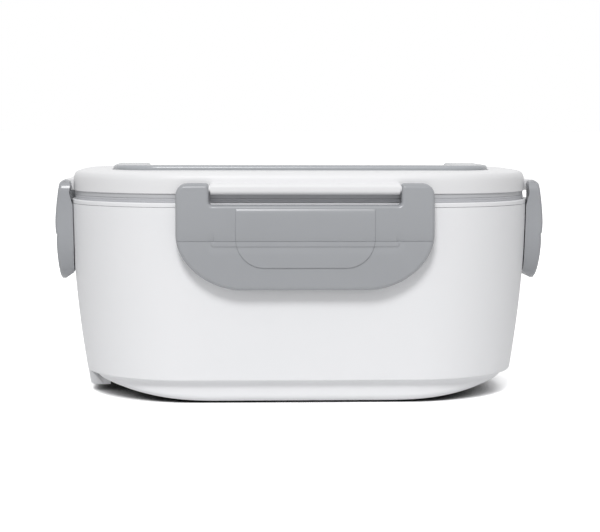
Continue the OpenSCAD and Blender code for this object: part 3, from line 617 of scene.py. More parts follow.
band_in = -1.5
liner_foot, liner_top = [corner[2] for corner in box_mm("lid_liner")]
liner_section = oblong(middle_in, liner_foot, band_in, liner_top, (0, 0.35, 0.2, 0), 3)
liner = swept("lid_liner_plate", liner_section, grey_pp, 2.5)
combine(liner, "DIFFERENCE", rod((0, vent_y, liner_foot - 1), vent_hole, 4))
fit(liner, "lid", "grey_liner", "lid_liner")

# A lip seal: two soft ribs that spread on the well's flat rim
seal_foot, seal_top = [corner[2] for corner in box_mm("lid_seal")]
seal_section = fillet([
    (band_in, seal_foot, 0.3), (band_in, seal_foot + 0.95, 0.12),
    (band_in - 0.22, seal_foot + 1.1, 0.1), (band_in, seal_foot + 1.25, 0.12),
    (band_in, seal_top, 0.1), (-flange_land, seal_top), (-flange_land, seal_foot, 0.3),
    (-3.9, seal_foot, 0.3), (-3.4, seal_foot + 0.5, 0.3), (-2.9, seal_foot, 0.3)], 3)
seal = swept("lid_seal_ring", seal_section, silicone, 2.5, closed=True)
fit(seal, "lid", "silicone", "lid_seal")

# ---- Steam vent ----------------------------------------------------------
# A grey silicone plug in the middle of the lid's rear half: a flat pull-up button on a stem. It is
# lifted before heating, so that steam can leave.


def spun(side, sides, put=lambda a, b, h: (a, b, h)):
    """A turned form; side is its (radius, height) line from pole to pole."""
    turns = [2 * math.pi * k / sides for k in range(sides)]
    verts = [put(r * math.cos(t), r * math.sin(t), h) for t in turns for r, h in side]
    return tidy(verts, bands(sides, len(side), closed=False, looped=True))


button_r, stem_r = 7.5, 2.6
button_foot, dimple = lid_top - 1.6, 0.55
vent_section = fillet([(0.0, lid_foot + 1), (stem_r, lid_foot + 1, 0.4), (stem_r, button_foot, 0.3),
                       (button_r, button_foot, 0.3), (button_r, lid_top, 0.6), (5.2, lid_top, 0.4),
                       (4.4, lid_top - 0.5, 0.6), (0.0, lid_top - dimple)], 4)
vent_form = spun(vent_section, 72, lambda a, b, h: (a, vent_y + b, h))
vent = as_object("vent_button", vent_form, silicone)
fit(vent, "vent", "silicone", "vent_plug")

# ---- Handle --------------------------------------------------------------
# The grey fold-down carrying handle, one flat U moulded in ABS with rounded edges. It lies in its
# bed and turns on two steel pins through the barrels at the ends of its arms.

# ABS of the latches' grey, made lighter for the handle: painted light for its brighter look as it
# lies flat on the lid. Hard and glossy
handle_abs_painted_lighter = moulded("moulded_abs_light_grey", "#a9acb0", "#a5a8ac", 0.22, 0.9, 4, IOR=1.53)

handle_edge = 1.4
under_edge = 0.35  # the lower edge is rounded by this share of the upper one
under = handle_top - handle_thick
arm_root, arm_lap = -4.0, 0.02


def shrunk(points, inset):
    """A closed anticlockwise outline, taken in all round."""
    taken = []
    for i, point in enumerate(points):
        here = Vector(point)
        before = (here - Vector(points[i - 1])).normalized()
        after = (Vector(points[(i + 1) % len(points)]) - here).normalized()
        inward = Vector((-before.y - after.y, before.x + after.x)).normalized()
        reach = inward.dot(Vector((-before.y, before.x)))
        taken.append(tuple(here + inward * inset / max(reach, 0.3)))
    return taken


def handle_ring(inset, height):
    """The plate's outline, taken in all round, at a height."""
    return handle_plan(-inset, pivot_y, arm_corner + inset), height


turn_in = turned(handle_edge, 4)
plate_rings = [handle_ring(under_edge * inset, under + under_edge * lift)
               for inset, lift in turn_in]
plate_rings += [handle_ring(inset, handle_top - lift) for inset, lift in reversed(turn_in)]

# Side view of an arm's end: level with the plate, then round behind and below the pin
arm_side = [(arm_root, under + arm_lap), (-barrel_r - 0.1, under + arm_lap)]
arm_side += [(barrel_r * math.cos(a), pivot_z + barrel_r * math.sin(a))
             for a in [math.radians(180 + 15 * k) for k in range(12)]]
arm_side += [(barrel_r * math.cos(a), pivot_z + barrel_top * math.sin(a))
             for a in [math.radians(9 * k) for k in range(11)]]
arm_side += [(arm_root, handle_top - arm_lap)]
arm_rings = [(shrunk(arm_side, inset), lift - arm_width / 2) for inset, lift in turn_in]
arm_rings += [(outline, -depth) for outline, depth in reversed(arm_rings)]
arms = [stack(arm_rings, lambda y, z, x: (sx * arm_mid + x, pivot_y + y, z)) for sx in (-1, 1)]
handle = as_object("carry_handle", together([stack(plate_rings)] + arms), handle_abs_painted_lighter)
fit(handle, "handle", "grey_trim", "handle", angle=40)

# ---- Latches -------------------------------------------------------------
# Four grey snap latches, two long and two short, moulded in ABS. Their prongs turn on the stubs of
# the lid's hinge bars, and a bead inside snaps below the body's catch. Each face is folded along a
# crease, with a shallow groove below it, and carries a raised thumb pad.

# ABS, moulded in a polished tool: hard, glossy and evenly grey
grey_abs = moulded("moulded_abs_grey", "#a1a3a7", "#9c9ea2", 0.25, 0.9, 4, IOR=1.53)

face_wall, side_wall, latch_gap, catch_play = 2.3, 2.2, 0.5, 0.3
latch_low, latch_high = box_mm("latch_front")
latch_foot, latch_top = latch_low[2], latch_high[2]
latch_bulge = -latch_low[1] - half_w - 0.35
prong_r = latch_top - hinge_z
slot_foot = rim_z - 0.6
foot_out, foot_thick, fingertip_rise, edge_round = 5.8, 2.2, 3.4, 1.6
crease_top, crease_sink, crease_step = hinge_z - 23.3, 0.7, 0.32
groove_z, groove_mid, groove_bow, groove_part = crease_top - 2.9, crease_top - 1.5, 1.5, 0.73
groove_deep, groove_inner, groove_outer = 0.42, 0.36, 6 * 0.36
pad_rise, pad_fall, pad_round = 0.6, 0.6, 0.45
pad_top, pad_foot = rim_z - 2.0, crease_top - 12.3


def bend(a, b, c, t):
    """A smooth bend from a to c that is drawn towards b."""
    return (1 - t) ** 2 * a + 2 * t * (1 - t) * b + t * t * c


# The face's profile: two slight bulges, one below the crease and one above it
ramp = np.linspace(0, 1, 25)
crease_out = latch_bulge - crease_sink
face_z = np.concatenate([bend(latch_foot + 1, crease_top - 4.5, crease_top - 0.2, ramp),
                         bend(crease_top, crease_top + 5.5, hinge_z, ramp)])
face_out = np.concatenate([
    bend(foot_out, latch_bulge + 0.1, crease_out, ramp),
    bend(crease_out + crease_step, latch_bulge + 1.0, hinge_out + prong_r, ramp)])


def prong(z):
    """Half the depth of the round prong at a height."""
    return prong_r * np.sqrt(np.clip(1 - ((z - hinge_z) / prong_r) ** 2, 0, 1))


def face_at(z):
    """How far out the face is at a height."""
    return np.where(z < hinge_z, np.interp(z, face_z, face_out), hinge_out + prong(z))


def back_at(x, z, straight):
    """The back edge: it follows the body's wall, which is straight as far as given and then turns
    away, and is cut back at the foot for a fingertip."""
    turn = np.maximum(np.abs(x) - straight, 0)
    wall = -wall_lean * (np.maximum(rim_z - z, 0) / (rim_z - wall_foot)) ** 2
    wall += np.sqrt(corner_r ** 2 - turn ** 2) - corner_r
    edge = latch_gap + wall * np.clip((hinge_z - prong_r - 1 - z) / 6, 0, 1)
    up = np.clip((z - latch_foot) / fingertip_rise, 0, 1)
    edge = (foot_out - foot_thick) * (1 - up) + edge * up
    blend = np.clip((hinge_z - z) / (prong_r + 1), 0, 1)
    return np.where(z < hinge_z, edge * blend + (hinge_out - prong_r) * (1 - blend),
                    hinge_out - prong(z))


def groove_at(x, z, half):
    """Depth of the groove that runs below the crease and turns up to it at both ends: steep on its
    inner side and shallow on the outer one."""
    past = np.maximum(np.abs(x) - (half * groove_part - groove_bow), 0)
    apart = np.where(past > 0, np.hypot(past, z - groove_mid) - groove_bow, groove_z - z)
    return groove_deep * np.exp(-(apart / np.where(apart > 0, groove_outer, groove_inner)) ** 2)


def latch_curve(half, inset):
    """The lower outline from the right side, round the foot, to the left side."""
    turn, foot = hinge_z - 21, latch_foot + 2 * inset
    spread, fullness = half / 2 - inset, 1.08
    right = [(half / 2 + spread * math.cos(a) ** fullness,
              turn - (turn - foot) * math.sin(a) ** fullness)
             for a in [math.radians(4.5 * k) for k in range(21)]]
    return right + [(-x, z) for x, z in reversed(right)]


def edge_distance(points, outline):
    """Distance of each point from a closed outline."""
    a = np.array(outline)
    along = np.roll(a, -1, axis=0) - a
    apart = points[:, None, :] - a[None, :, :]
    t = np.clip((apart * along).sum(2) / np.maximum((along ** 2).sum(1), 1e-9), 0, 1)
    return np.hypot(*(apart - t[:, :, None] * along).transpose(2, 0, 1)).min(1)


def skin(outline, edge, levels, rows, columns, front, back):
    """A solid with this front outline (clockwise) and a rounded front edge, facing the front side.
    front and back give the distance out of its surfaces; its mesh is divided at the rows' heights
    and the columns' widths, and close to the outline at the levels."""
    outline = outline[::-1]
    rings = [shrunk(outline, t) for t in levels]
    n = len(outline)
    bm = bmesh.new()
    loops = [[bm.verts.new((x, 1, z)) for x, z in outline]]
    loops += [[bm.verts.new((x, 0, z)) for x, z in ring] for ring in rings]
    for low, high in zip(loops, loops[1:]):
        for k in range(n):
            bm.faces.new((low[k], low[(k + 1) % n], high[(k + 1) % n], high[k]))
    bm.faces.new(loops[-1])
    bm.faces.new(loops[0][::-1])
    for places, normal in ((rows, Vector((0, 0, 1))), (columns, Vector((1, 0, 0)))):
        for place in places:
            bmesh.ops.bisect_plane(bm, geom=bm.verts[:] + bm.edges[:] + bm.faces[:], dist=1e-4,
                                   plane_co=normal * place, plane_no=normal)
    spots = np.array([vert.co for vert in bm.verts])
    x, z = spots[:, 0], spots[:, 2]
    outer, inner = front(x, z), back(x, z)
    bow = np.minimum(edge, np.maximum(outer - inner, 0) / 2)
    within = np.minimum(edge_distance(spots[:, (0, 2)], outline), bow)
    drop = bow - np.sqrt(np.maximum(bow ** 2 - (bow - within) ** 2, 0))
    for vert, out in zip(bm.verts, np.where(spots[:, 1] > 0.5, inner, outer - drop)):
        vert.co = vert.co.x * MM, -out * MM, vert.co.z * MM
    bmesh.ops.remove_doubles(bm, verts=bm.verts, dist=2e-6)
    bmesh.ops.recalc_face_normals(bm, faces=bm.faces)
    return bm


def make_latch(name, half, slot, catch, straight):
    """One latch in the front position, with the rim line at the origin."""
    def surface(x, z):
        return face_at(z) - groove_at(x, z, half)

    # The mesh is finest at the crease, at the groove and at its turned-up ends
    rows = [latch_foot + 1.5 * k for k in range(1, 13)]
    rows += [crease_top - 7.6 + 0.5 * k for k in range(6)]
    rows += [crease_top - 4.6 + 0.2 * k for k in range(26)]
    rows += [crease_top + 1.0 + 1.4 * k for k in range(16)] + [hinge_z]
    rows += [hinge_z + prong_r * math.sin(math.radians(a)) for a in range(10, 90, 10)]
    columns = [s * (half * groove_part - 2.2 + 0.3 * k) for k in range(17) for s in (-1, 1)]

    right = fillet([(0, slot_foot), (slot, slot_foot, 1.6), (slot, latch_top, 1.5),
                    (half, latch_top, 5.5), (half, hinge_z - 20)], 7)[1:-1]
    whole = right + latch_curve(half, 0) + [(-x, z) for x, z in reversed(right)]
    latch = as_object(name, skin(whole, edge_round, [0.0, 0.1, 0.27, 0.52, 0.84, 1.23, 1.65], rows,
                                 columns, surface, lambda x, z: back_at(x, z, straight)), grey_abs)

    shelf, side = slot_foot - side_wall, half - side_wall
    bead_out, pin_half = 2.9, slot + stub_past + 0.5
    inside = fillet([(-side, shelf, 1.0), (side, shelf, 1.0), (side, hinge_z - 20)], 4)
    inside = [p for p in inside if p[1] > hinge_z - 19] + latch_curve(half, side_wall)
    combine(latch, "DIFFERENCE",
            skin(inside, 0.0, [0.0, 0.5], rows[::3], [], lambda x, z: face_at(z) - face_wall,
                 lambda x, z: 0 * z - 12),
            block((-catch - catch_play, -bead_out, latch_foot - 1),
                  (catch + catch_play, 5, shelf - 0.6), 0.6, 1),
            rod((-pin_half, -hinge_out, hinge_z), stub_r + 0.05, 2 * pin_half, 0))

    pad_half, pad_corner = slot * 0.725, slot * 0.3
    pad_outline = oblong(-pad_half, pad_top, pad_half, pad_foot,
                         (0.8, 0.8, pad_corner, pad_corner), 12)
    pad = skin(pad_outline, pad_round, [0.0, 0.04, 0.1, 0.18, 0.3, 0.48],
               rows + [pad_top - 0.25 * k for k in range(1, 16)], [],
               lambda x, z: surface(x, z) + pad_rise - pad_fall * np.exp(z - pad_top),
               lambda x, z: face_at(z) - 2.0)
    bead = oblong(bead_out, catch_low - 2.9, 6.0, catch_low - catch_play, (0.5, 0, 0, 0.5))
    body = bmesh.new()
    body.from_mesh(latch.data)
    body = together([body, pad, bar_of(bead, catch, 0, 0.0)])
    body.to_mesh(latch.data)
    body.free()
    return latch


moulds = {}
for side, (quarters, reach, half, slot, catch) in latch_sides.items():
    if half not in moulds:
        straight = (half_l if reach == half_w else half_w) - corner_r
        moulds[half] = make_latch("latch_mould", half, slot, catch, straight)
    latch = bpy.data.objects.new("snap_latch_" + side, moulds[half].data.copy())
    bpy.context.scene.collection.objects.link(latch)
    latch.data.transform(Matrix.Rotation(math.pi / 2 * quarters, 4, "Z")
                         @ Matrix.Translation((0, -reach * MM, 0)))
    fit(latch, "latch_" + side, "grey_trim", "latch_" + side, angle=38)
for mould in moulds.values():
    bpy.data.objects.remove(mould)

# ---- Food container ------------------------------------------------------
# The stainless-steel pan that holds the meal, deep-drawn from thin sheet with a turned-out rim
# that rests on the well's step. Its walls are satin brushed round the pan, and a bead stiffens its
# floor.


def streaked(name, colour, stretch, rough, dull, depth):
    """A worked metal: streaks along one direction vary its gloss and raise its surface a little
    (depth in micrometres)."""
    material, shader, place = new_material(name)
    along = add(material, "ShaderNodeMapping", {"Vector": place, "Scale": stretch})
    lines = noise(material, along.outputs["Vector"], 1.0, 3.0, rough)
    feed(shader, {"Base Color": lin(colour), "Metallic": 1.0,
                  "Roughness": between(material, lines, *dull),
                  "Normal": raised(material, lines, depth)})
    return material


# Austenitic stainless steel (18/8): bright, with fine horizontal lines from the brushing belt
stainless = streaked("brushed_stainless_steel", "#d3d3d2", (40.0, 40.0, 1500.0), 0.65,
                     (0.24, 0.40), 6)

pan_low, pan_high = box_mm("food_container")
sheet = 0.7
pan_foot, pan_seat = pan_low[2], pan_high[2] - sheet
pan_out, pan_in_foot, pan_rim, bead_in = -9.2, -16.2, -5.6, -23.0
floor_bead = [(-27.0, 0.0), (-26.2, 0.12), (-25.4, 0.4), (-24.6, 0.4), (-23.8, 0.12),
              (bead_in, 0.0)]
pan_section = [(middle_in, pan_foot + 0.02)] + [(out, pan_foot + up) for out, up in floor_bead]
pan_section += fillet([
    (bead_in, pan_foot), (pan_in_foot, pan_foot, 6.0), (pan_out, pan_seat - 1.6),
    (pan_out, pan_seat, 0.7), (pan_rim, pan_seat, 0.2), (pan_rim, pan_seat + sheet, 0.3),
    (pan_out - sheet, pan_seat + sheet, 1.3), (pan_out - sheet, pan_seat - 1.6),
    (pan_in_foot - sheet, pan_foot + sheet, 5.4), (bead_in, pan_foot + sheet)], 7)[1:]
pan_section += [(out, pan_foot + sheet + up) for out, up in reversed(floor_bead[:-1])]
pan_section += [(middle_in, pan_foot + sheet)]
fit(swept("food_container_pan", pan_section, stainless, 3.0),
    "container", "stainless", "food_container")

# ---- Side tray -----------------------------------------------------------
# The pale insert for a side dish, moulded in natural polypropylene. It hangs by its flange on the
# container's rim and takes up the right-hand third.

# Uncoloured polypropylene: milky, so light spreads a little below its surface
natural_pp = moulded("moulded_polypropylene_natural", "#dcdee0", "#d6d8db", 0.36, 1.4, 6,
                     Subsurface_Weight=0.3, Subsurface_Radius=(0.002, 0.002, 0.002),
                     Subsurface_Scale=1.0)

tray_low, tray_high = box_mm("side_tray")
tray_x, tray_foot, tray_top = tray_low[0], tray_low[2], tray_high[2]
tray_out, tray_lean, tray_thick, tray_turn = -10.5, 4.7, 1.2, 4.0
tray_seat, flange_out = tray_top - tray_thick, -6.0


def tray_plan(out, start, corner=5.0):
    """The tray's outline at an offset from the rim line, cut off at its inner end."""
    x1, y1 = half_l + out, half_w + out
    stretches = rim_line(start, x1, -y1, y1, [corner_r + out, corner_r + out, corner, corner])
    outline = []
    for (length, at), count in zip(stretches, (6, 16, 4, 16, 6, 6, 12, 6, 2)):
        outline += [at(length * k / count)[:2] for k in range(count)]
    return outline


def tray_wall(inset, foot, top):
    """The tray's wall, from the round at its foot to its mouth, as (out, inner end, height)."""
    rings = [(tray_out - tray_lean - inset - turn, tray_x + inset + turn, foot + up)
             for turn, up in turned(tray_turn - inset, 5)]
    return rings + [(tray_out - inset, tray_x + inset, top)]


tray_levels = tray_wall(0.0, tray_foot, tray_seat - 0.4)
tray_levels += [(tray_out + 0.4, tray_x, tray_seat), (flange_out - 0.2, tray_x, tray_seat),
                (flange_out, tray_x, tray_seat + 0.2), (flange_out, tray_x, tray_top - 0.4),
                (flange_out - 0.3, tray_x + 0.3, tray_top),
                (tray_out - tray_thick + 0.6, tray_x + tray_thick - 0.4, tray_top)]
tray_levels += tray_wall(tray_thick, tray_foot + tray_thick, tray_top - 0.8)[::-1]
side_tray = as_object("side_dish_tray", stack([(tray_plan(out, start), z)
                                               for out, start, z in tray_levels]), natural_pp)
fit(side_tray, "tray", "tray_plastic", "side_tray")

# ---- Heating plate and heater --------------------------------------------
# Below the well's window lie the aluminium plate that warms the container, the flat heater that a
# sprung strip presses up against it, its thermostat and fuse, and a fibre board that shields the
# cover.

# Rolled aluminium sheet: pale, with soft lines along the rolling direction
aluminium = streaked("rolled_aluminium_sheet", "#d6d7d9", (30.0, 900.0, 900.0), 0.5,
                     (0.30, 0.46), 5)

# Zinc-plated steel: a little bluish, with the faint spangle of the bath
zinc, zinc_shader, zinc_place = new_material("zinc_plated_steel")
spangle = add(zinc, "ShaderNodeTexVoronoi", {"Vector": zinc_place, "Scale": 1 / (1.5 * MM)})
cloud = noise(zinc, zinc_place, 1 / (4 * MM), 3.0)
feed(zinc_shader, {"Base Color": tones(zinc, spangle.outputs["Distance"], ("#b9bcc1", "#a9adb3")),
                   "Metallic": 1.0, "Roughness": between(zinc, cloud, 0.28, 0.42)})

# Phenolic moulding, for the thermostat's body: hard, brownish black and dull
phenolic = moulded("moulded_phenolic_black", "#1f1c1a", "#181614", 0.5, 0.6, 12, 12.0)

# Pressed fibre board: warm grey, matt, with short flecks
fibre_board, board_shader, board_place = new_material("pressed_fibre_board")
fleck = noise(fibre_board, board_place, 1 / (1.8 * MM), 5.0, 0.7)
feed(board_shader, {
    "Base Color": tones(fibre_board, fleck, ("#a89a84", "#c6baa4"), (0.35, 0.65)),
    "Roughness": 0.85, "Normal": raised(fibre_board, fleck, 40)})

plate_low, plate_high = box_mm("heating_plate")
plate = as_object("heating_plate_sheet", block(plate_low, plate_high, 12.0, 2, 10), aluminium)
edge_break = plate.modifiers.new("broken_edge", "BEVEL")
edge_break.width, edge_break.segments, edge_break.limit_method = 0.35 * MM, 2, "ANGLE"
edge_break.angle_limit = math.radians(60)
settle(plate)
fit(plate, "base", "aluminium_plate", "heating_plate")

# The small inner parts keep their plain form and get their real finish
for node, finish in {"ptc_heater": aluminium, "heater_clamp": zinc, "thermal_fuse": zinc,
                     "thermostat": phenolic, "insulation_board": fibre_board,
                     "handle_pins": zinc}.items():
    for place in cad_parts[node].material_slots:
        place.material = finish

# ---- Wiring --------------------------------------------------------------
# Five silicone-covered leads that join the inlets, thermostat, fuse and heater. Each is swept as a
# round tube along its route in the base.

# Silicone-covered flexible wire: soft matt grey, a little dusty
lead_cover = moulded("silicone_wire_cover_grey", "#4a4c50", "#3f4145", 0.55, 0.5, 6, 10.0)


def geometry_tree(name, inputs, output):
    """A node tree with named inputs and one output: gives it, its inputs' sockets and its end."""
    tree = bpy.data.node_groups.new(name, "GeometryNodeTree")
    for label, kind in inputs.items():
        tree.interface.new_socket(label, in_out="INPUT", socket_type="NodeSocket" + kind)
    tree.interface.new_socket(output, in_out="OUTPUT", socket_type="NodeSocketGeometry")
    return tree, add(tree, "NodeGroupInput").outputs, add(tree, "NodeGroupOutput")


def end_tree(tree, geometry, finish, made):
    """Ends a node tree with real geometry in one finish."""
    solid = add(tree, "GeometryNodeRealizeInstances", {"Geometry": geometry})
    paint = add(tree, "GeometryNodeSetMaterial", {
        "Geometry": solid.outputs["Geometry"], "Material": finish})
    feed(made, {0: paint.outputs["Geometry"]})


def grow(piece, tree, values):
    """Runs a node tree on a piece with these input values and keeps the result as a plain mesh."""
    growth = piece.modifiers.new(tree.name, "NODES")
    growth.node_group = tree
    for socket in tree.interface.items_tree:
        if socket.name in values:
            growth[socket.identifier] = values[socket.name]
    settle(piece)


lead_r = 0.9
mains_end, car_end, mains_z, cup_end, fuse_z, heater_z = -83.9, -85.9, 14.3, 19.7, 22.0, 21.5
heater_side, lug = 12.15, 3.5
lead_routes = [
    [(mains_end, 12.3, mains_z), (mains_end + 4, 12.3, mains_z), (-58, 25, 12), (-42, 29, 12),
     (-35, 29, cup_end - 5.5), (-34, 29, cup_end - 2.5), (-34, 29, cup_end)],
    [(mains_end, 3.7, mains_z), (mains_end + 4, 3.7, mains_z), (-70, 0, 11.5), (-40, -22, 11),
     (4, -28, 12), (15, -28, 18), (20, -28, fuse_z), (23.85, -28, fuse_z)],
    [(36.15, -28, fuse_z), (39, -28, fuse_z), (43, -25, 21), (46, -19, 21.3),
     (46, -heater_side - lug, heater_z), (46, -heater_side, heater_z)],
    [(-26, 29, cup_end), (-26, 29, cup_end - 1.7), (-22, 26, 17.2), (-16, 19, 20.3),
     (-15, heater_side + lug, heater_z), (-15, heater_side, heater_z)],
    [(car_end, -12, mains_z), (car_end + 4, -12, mains_z), (-56, -24, 13.5), (-46, -24, 17.5),
     (-41, -19, 21.2), (-40, -heater_side - lug, heater_z), (-40, -heater_side, heater_z)],
]
sweep_tree, given, made = geometry_tree(
    "lead_sweep", {"Route": "Geometry", "Radius": "Float", "Cover": "Material"}, "Leads")
route = add(sweep_tree, "GeometryNodeMeshToCurve", {"Mesh": given["Route"]})
ring = add(sweep_tree, "GeometryNodeCurvePrimitiveCircle", {
    "Resolution": 12, "Radius": given["Radius"]})
tube = add(sweep_tree, "GeometryNodeCurveToMesh", {
    "Curve": route.outputs["Curve"], "Profile Curve": ring.outputs["Curve"], "Fill Caps": True})
end_tree(sweep_tree, tube.outputs["Mesh"], given["Cover"], made)

lead_bm = bmesh.new()
for points in lead_routes:
    path = [lead_bm.verts.new([v * MM for v in point]) for point in spline(points, 6)]
    for pair in zip(path, path[1:]):
        lead_bm.edges.new(pair)
wiring = as_object("inner_wiring", lead_bm, lead_cover)
grow(wiring, sweep_tree, {"Radius": lead_r * MM, "Cover": lead_cover})
wiring_bm = bmesh.new()
wiring_bm.from_mesh(wiring.data)
bmesh.ops.recalc_face_normals(wiring_bm, faces=wiring_bm.faces)
wiring_bm.to_mesh(wiring.data)
wiring_bm.free()
fit(wiring, "base", "wire_rubber", "wiring", angle=50)

# ---- Inlets --------------------------------------------------------------
# The two power inlets on the left: a mains socket with two pins and a round low-voltage jack. Both
# are black moulded inserts with plated pins, held in a black frame that is let into the housing.

# ABS in black, for the inlets and their frame: hard, with a fine matt surface
black_abs = moulded("moulded_abs_black", "#191a1c", "#151618", 0.42, 0.8, 8)

bezel_rim, bezel_lip, bezel_edge = 1.3, 0.3, 0.35
bezel_back, bezel_face = bezel_high[0], bezel_high[0] - 2.0


def frame_plan(inset):
    """The frame's outline in side view, taken in all round."""
    return oblong(bezel_low[1] + inset, bezel_low[2] + inset, bezel_high[1] - inset,
                  bezel_high[2] - inset, [max(1.5 - inset, 0.4)] * 4)


def frame_place(y, z, depth):
    """Depths above 0 are true places along the box; the others lie below the wall's face."""
    return (-depth if depth > 0 else -(half_l + lean(z)) - depth, y, z)


frame_rings = [(frame_plan(inset), depth) for inset, depth in (
    (0.0, -bezel_back), (0.0, -bezel_edge), (bezel_edge, 0.0), (bezel_rim - bezel_lip, 0.0),
    (bezel_rim, -bezel_lip), (bezel_rim, -bezel_face))]
bezel = as_object("inlet_frame", stack(frame_rings, frame_place), black_abs)
mains_low, mains_high = box_mm("mains_inlet")
car_low, car_high = box_mm("car_inlet")
combine(bezel, "DIFFERENCE", *[
    block((bezel_face - 1, low[1] - 0.1, low[2] - 0.1),
          (bezel_back + 1, high[1] + 0.1, high[2] + 0.1), 0.9, 0)
    for low, high in ((mains_low, mains_high), (car_low, car_high))])
fit(bezel, "base", "black_plastic", "inlet_bezel")

inlet_z = (mains_low[2] + mains_high[2]) / 2
mains_y, pin_pitch, well_r = (mains_low[1] + mains_high[1]) / 2, 8.6, 4.2
lobe, well_deep, waist_half = pin_pitch * 0.4, 15.0, 3.6
mains_out, car_out = mains_low[0] - 1, car_low[0] - 1  # the recesses are cut from just outside
mains_body = as_object("mains_socket", block(mains_low, mains_high, 0.8, 0), black_abs)
combine(mains_body, "DIFFERENCE",
        *[rod((mains_out, mains_y + side * lobe, inlet_z), well_r, well_deep, 0)
          for side in (-1, 1)],
        block((mains_out, mains_y - lobe, inlet_z - waist_half),
              (mains_out + well_deep, mains_y + lobe, inlet_z + waist_half)))
fit(mains_body, "base", "black_plastic", "mains_inlet")

car_y, jack_r, jack_deep, collar_deep = (car_low[1] + car_high[1]) / 2, 2.9, 11.0, 1.5
car_body = as_object("car_socket", block(car_low, car_high, 0.8, 0), black_abs)
combine(car_body, "DIFFERENCE", *[rod((car_out, car_y, inlet_z), radius, depth, 0)
                                  for radius, depth in ((well_r, collar_deep),
                                                        (jack_r, jack_deep))])
fit(car_body, "base", "black_plastic", "car_inlet")

# Nickel-plated brass: a warm bright metal with a smooth turned surface
nickel, nickel_shader, nickel_place = new_material("nickel_plated_brass")
turning = noise(nickel, nickel_place, 1 / (0.5 * MM))
feed(nickel_shader, {"Base Color": lin("#d3cbbb"), "Metallic": 1.0,
                     "Roughness": between(nickel, turning, 0.16, 0.28)})

pins = []
for y, start, length, radius in ((mains_y - pin_pitch / 2, mains_low[0] + 2, 12.2, 1.18),
                                 (mains_y + pin_pitch / 2, mains_low[0] + 2, 12.2, 1.18),
                                 (car_y, car_low[0] + 1.5, 8.7, 1.05)):
    side = fillet([(0.0, 0.0), (radius, 0.0, 0.8), (radius, length, 0.1), (0.0, length)], 5)
    pins.append(spun(side, 32, lambda a, b, along: (start + along, y + a, inlet_z + b)))
fit(as_object("inlet_pins", together(pins), nickel), "base", "steel_hardware")

# ---- Screws and feet -----------------------------------------------------
# Four pan-head screws that hold the base cover, two that hold the heater's strip, and four soft
# round rubber feet pushed into pockets. Each kind is one form, set at its places by a node tree.

# Moulded rubber: dark grey and matt, with fine scuffs
rubber = moulded("moulded_rubber_grey", "#6e7074", "#64666a", 0.72, 0.7, 20, 8.0)

set_tree, given, made = geometry_tree(
    "set_in_a_rectangle", {"Form": "Object", "Length": "Float", "Width": "Float", "Along": "Int",
                           "Across": "Int", "Finish": "Material"}, "Set")
grid = add(set_tree, "GeometryNodeMeshGrid", {
    "Size X": given["Length"], "Size Y": given["Width"],
    "Vertices X": given["Along"], "Vertices Y": given["Across"]})
form = add(set_tree, "GeometryNodeObjectInfo", {"Object": given["Form"]})
spread = add(set_tree, "GeometryNodeInstanceOnPoints", {
    "Points": grid.outputs["Mesh"], "Instance": form.outputs["Geometry"]})
end_tree(set_tree, spread.outputs["Instances"], given["Finish"], made)


def set_out(name, form_object, length, width, across, finish):
    """Copies of one form at the corners of a rectangle, or at both ends of a line."""
    whole = as_object(name, bmesh.new(), finish)
    grow(whole, set_tree, {"Form": form_object, "Length": length * MM, "Width": width * MM,
                           "Along": 2, "Across": across, "Finish": finish})
    bpy.data.objects.remove(form_object)
    return whole


head_tall = 2.0


def screw_form(seat, top):
    """A pan-head screw with a cross recess and a threaded shank, standing on its head."""
    shank, root, pitch, slot_long, slot_wide = 1.45, 1.15, 1.0, 1.6, 0.4
    foot = seat - head_tall
    side = fillet([(0.0, foot), (screw_head, foot, 1.3), (screw_head, seat, 0.15),
                   (shank, seat)], 5)
    z = seat + 0.4
    while z + pitch < top - 1.0:
        side += [(root, z), (shank, z + pitch / 2)]
        z += pitch
    side += [(root, z), (0.5, top - 0.2), (0.0, top)]
    screw = as_object("screw", spun(side, 40), zinc)
    combine(screw, "DIFFERENCE", *[block((-x, -y, foot - 1), (x, y, foot + 1))
                                   for x, y in ((slot_long, slot_wide), (slot_wide, slot_long))])
    return screw


for name, node, width, across in (("base_cover_screws", "base_screws", 2 * screw_y, 2),
                                  ("clamp_strip_screws", "clamp_screws", 0.0, 1)):
    low, high = box_mm(node)
    screws = set_out(name, screw_form(low[2] + head_tall, high[2]), 2 * (high[0] - screw_head),
                     width, across, zinc)
    fit(screws, "base", "steel_hardware", node)

foot_top = foot_high[2]
foot_side = fillet([(0.0, 0.0), (3.4, 0.0, 0.3), (3.9, 0.35, 0.3), (4.4, 0.0, 0.3),
                    (foot_r - 0.5, 0.0, 0.5), (foot_r, foot_top - 0.1, 0.1),
                    (foot_r - 0.2, foot_top), (0.0, foot_top)], 3)
rubber_feet = set_out("rubber_foot_pads", as_object("foot", spun(foot_side, 40), rubber),
                      2 * foot_x, 2 * foot_y, 2, rubber)
fit(rubber_feet, "base", "feet_rubber", "rubber_feet")

# ---- Camera, light and floor ---------------------------------------------
# A pale studio: a wide white floor, one soft key light high at the front, a little to the left, and
# a white surround that fills the shadows, weaker from both sides and stronger from behind. Camera,
# glossy and transmission rays see the floor and the surround as plain white, or close to it.

floor_white, floor_shader, floor_place = new_material("studio_floor_white")
ray = add(floor_white, "ShaderNodeLightPath").outputs
# How far a ray sees the plain white: wholly from the camera, in part in a reflection
mirrored = maths(floor_white, "MAXIMUM", ray["Is Glossy Ray"], ray["Is Transmission Ray"])
dimmed = maths(floor_white, "MULTIPLY", mirrored, 0.3)
viewed = maths(floor_white, "MAXIMUM", dimmed, ray["Is Camera Ray"])
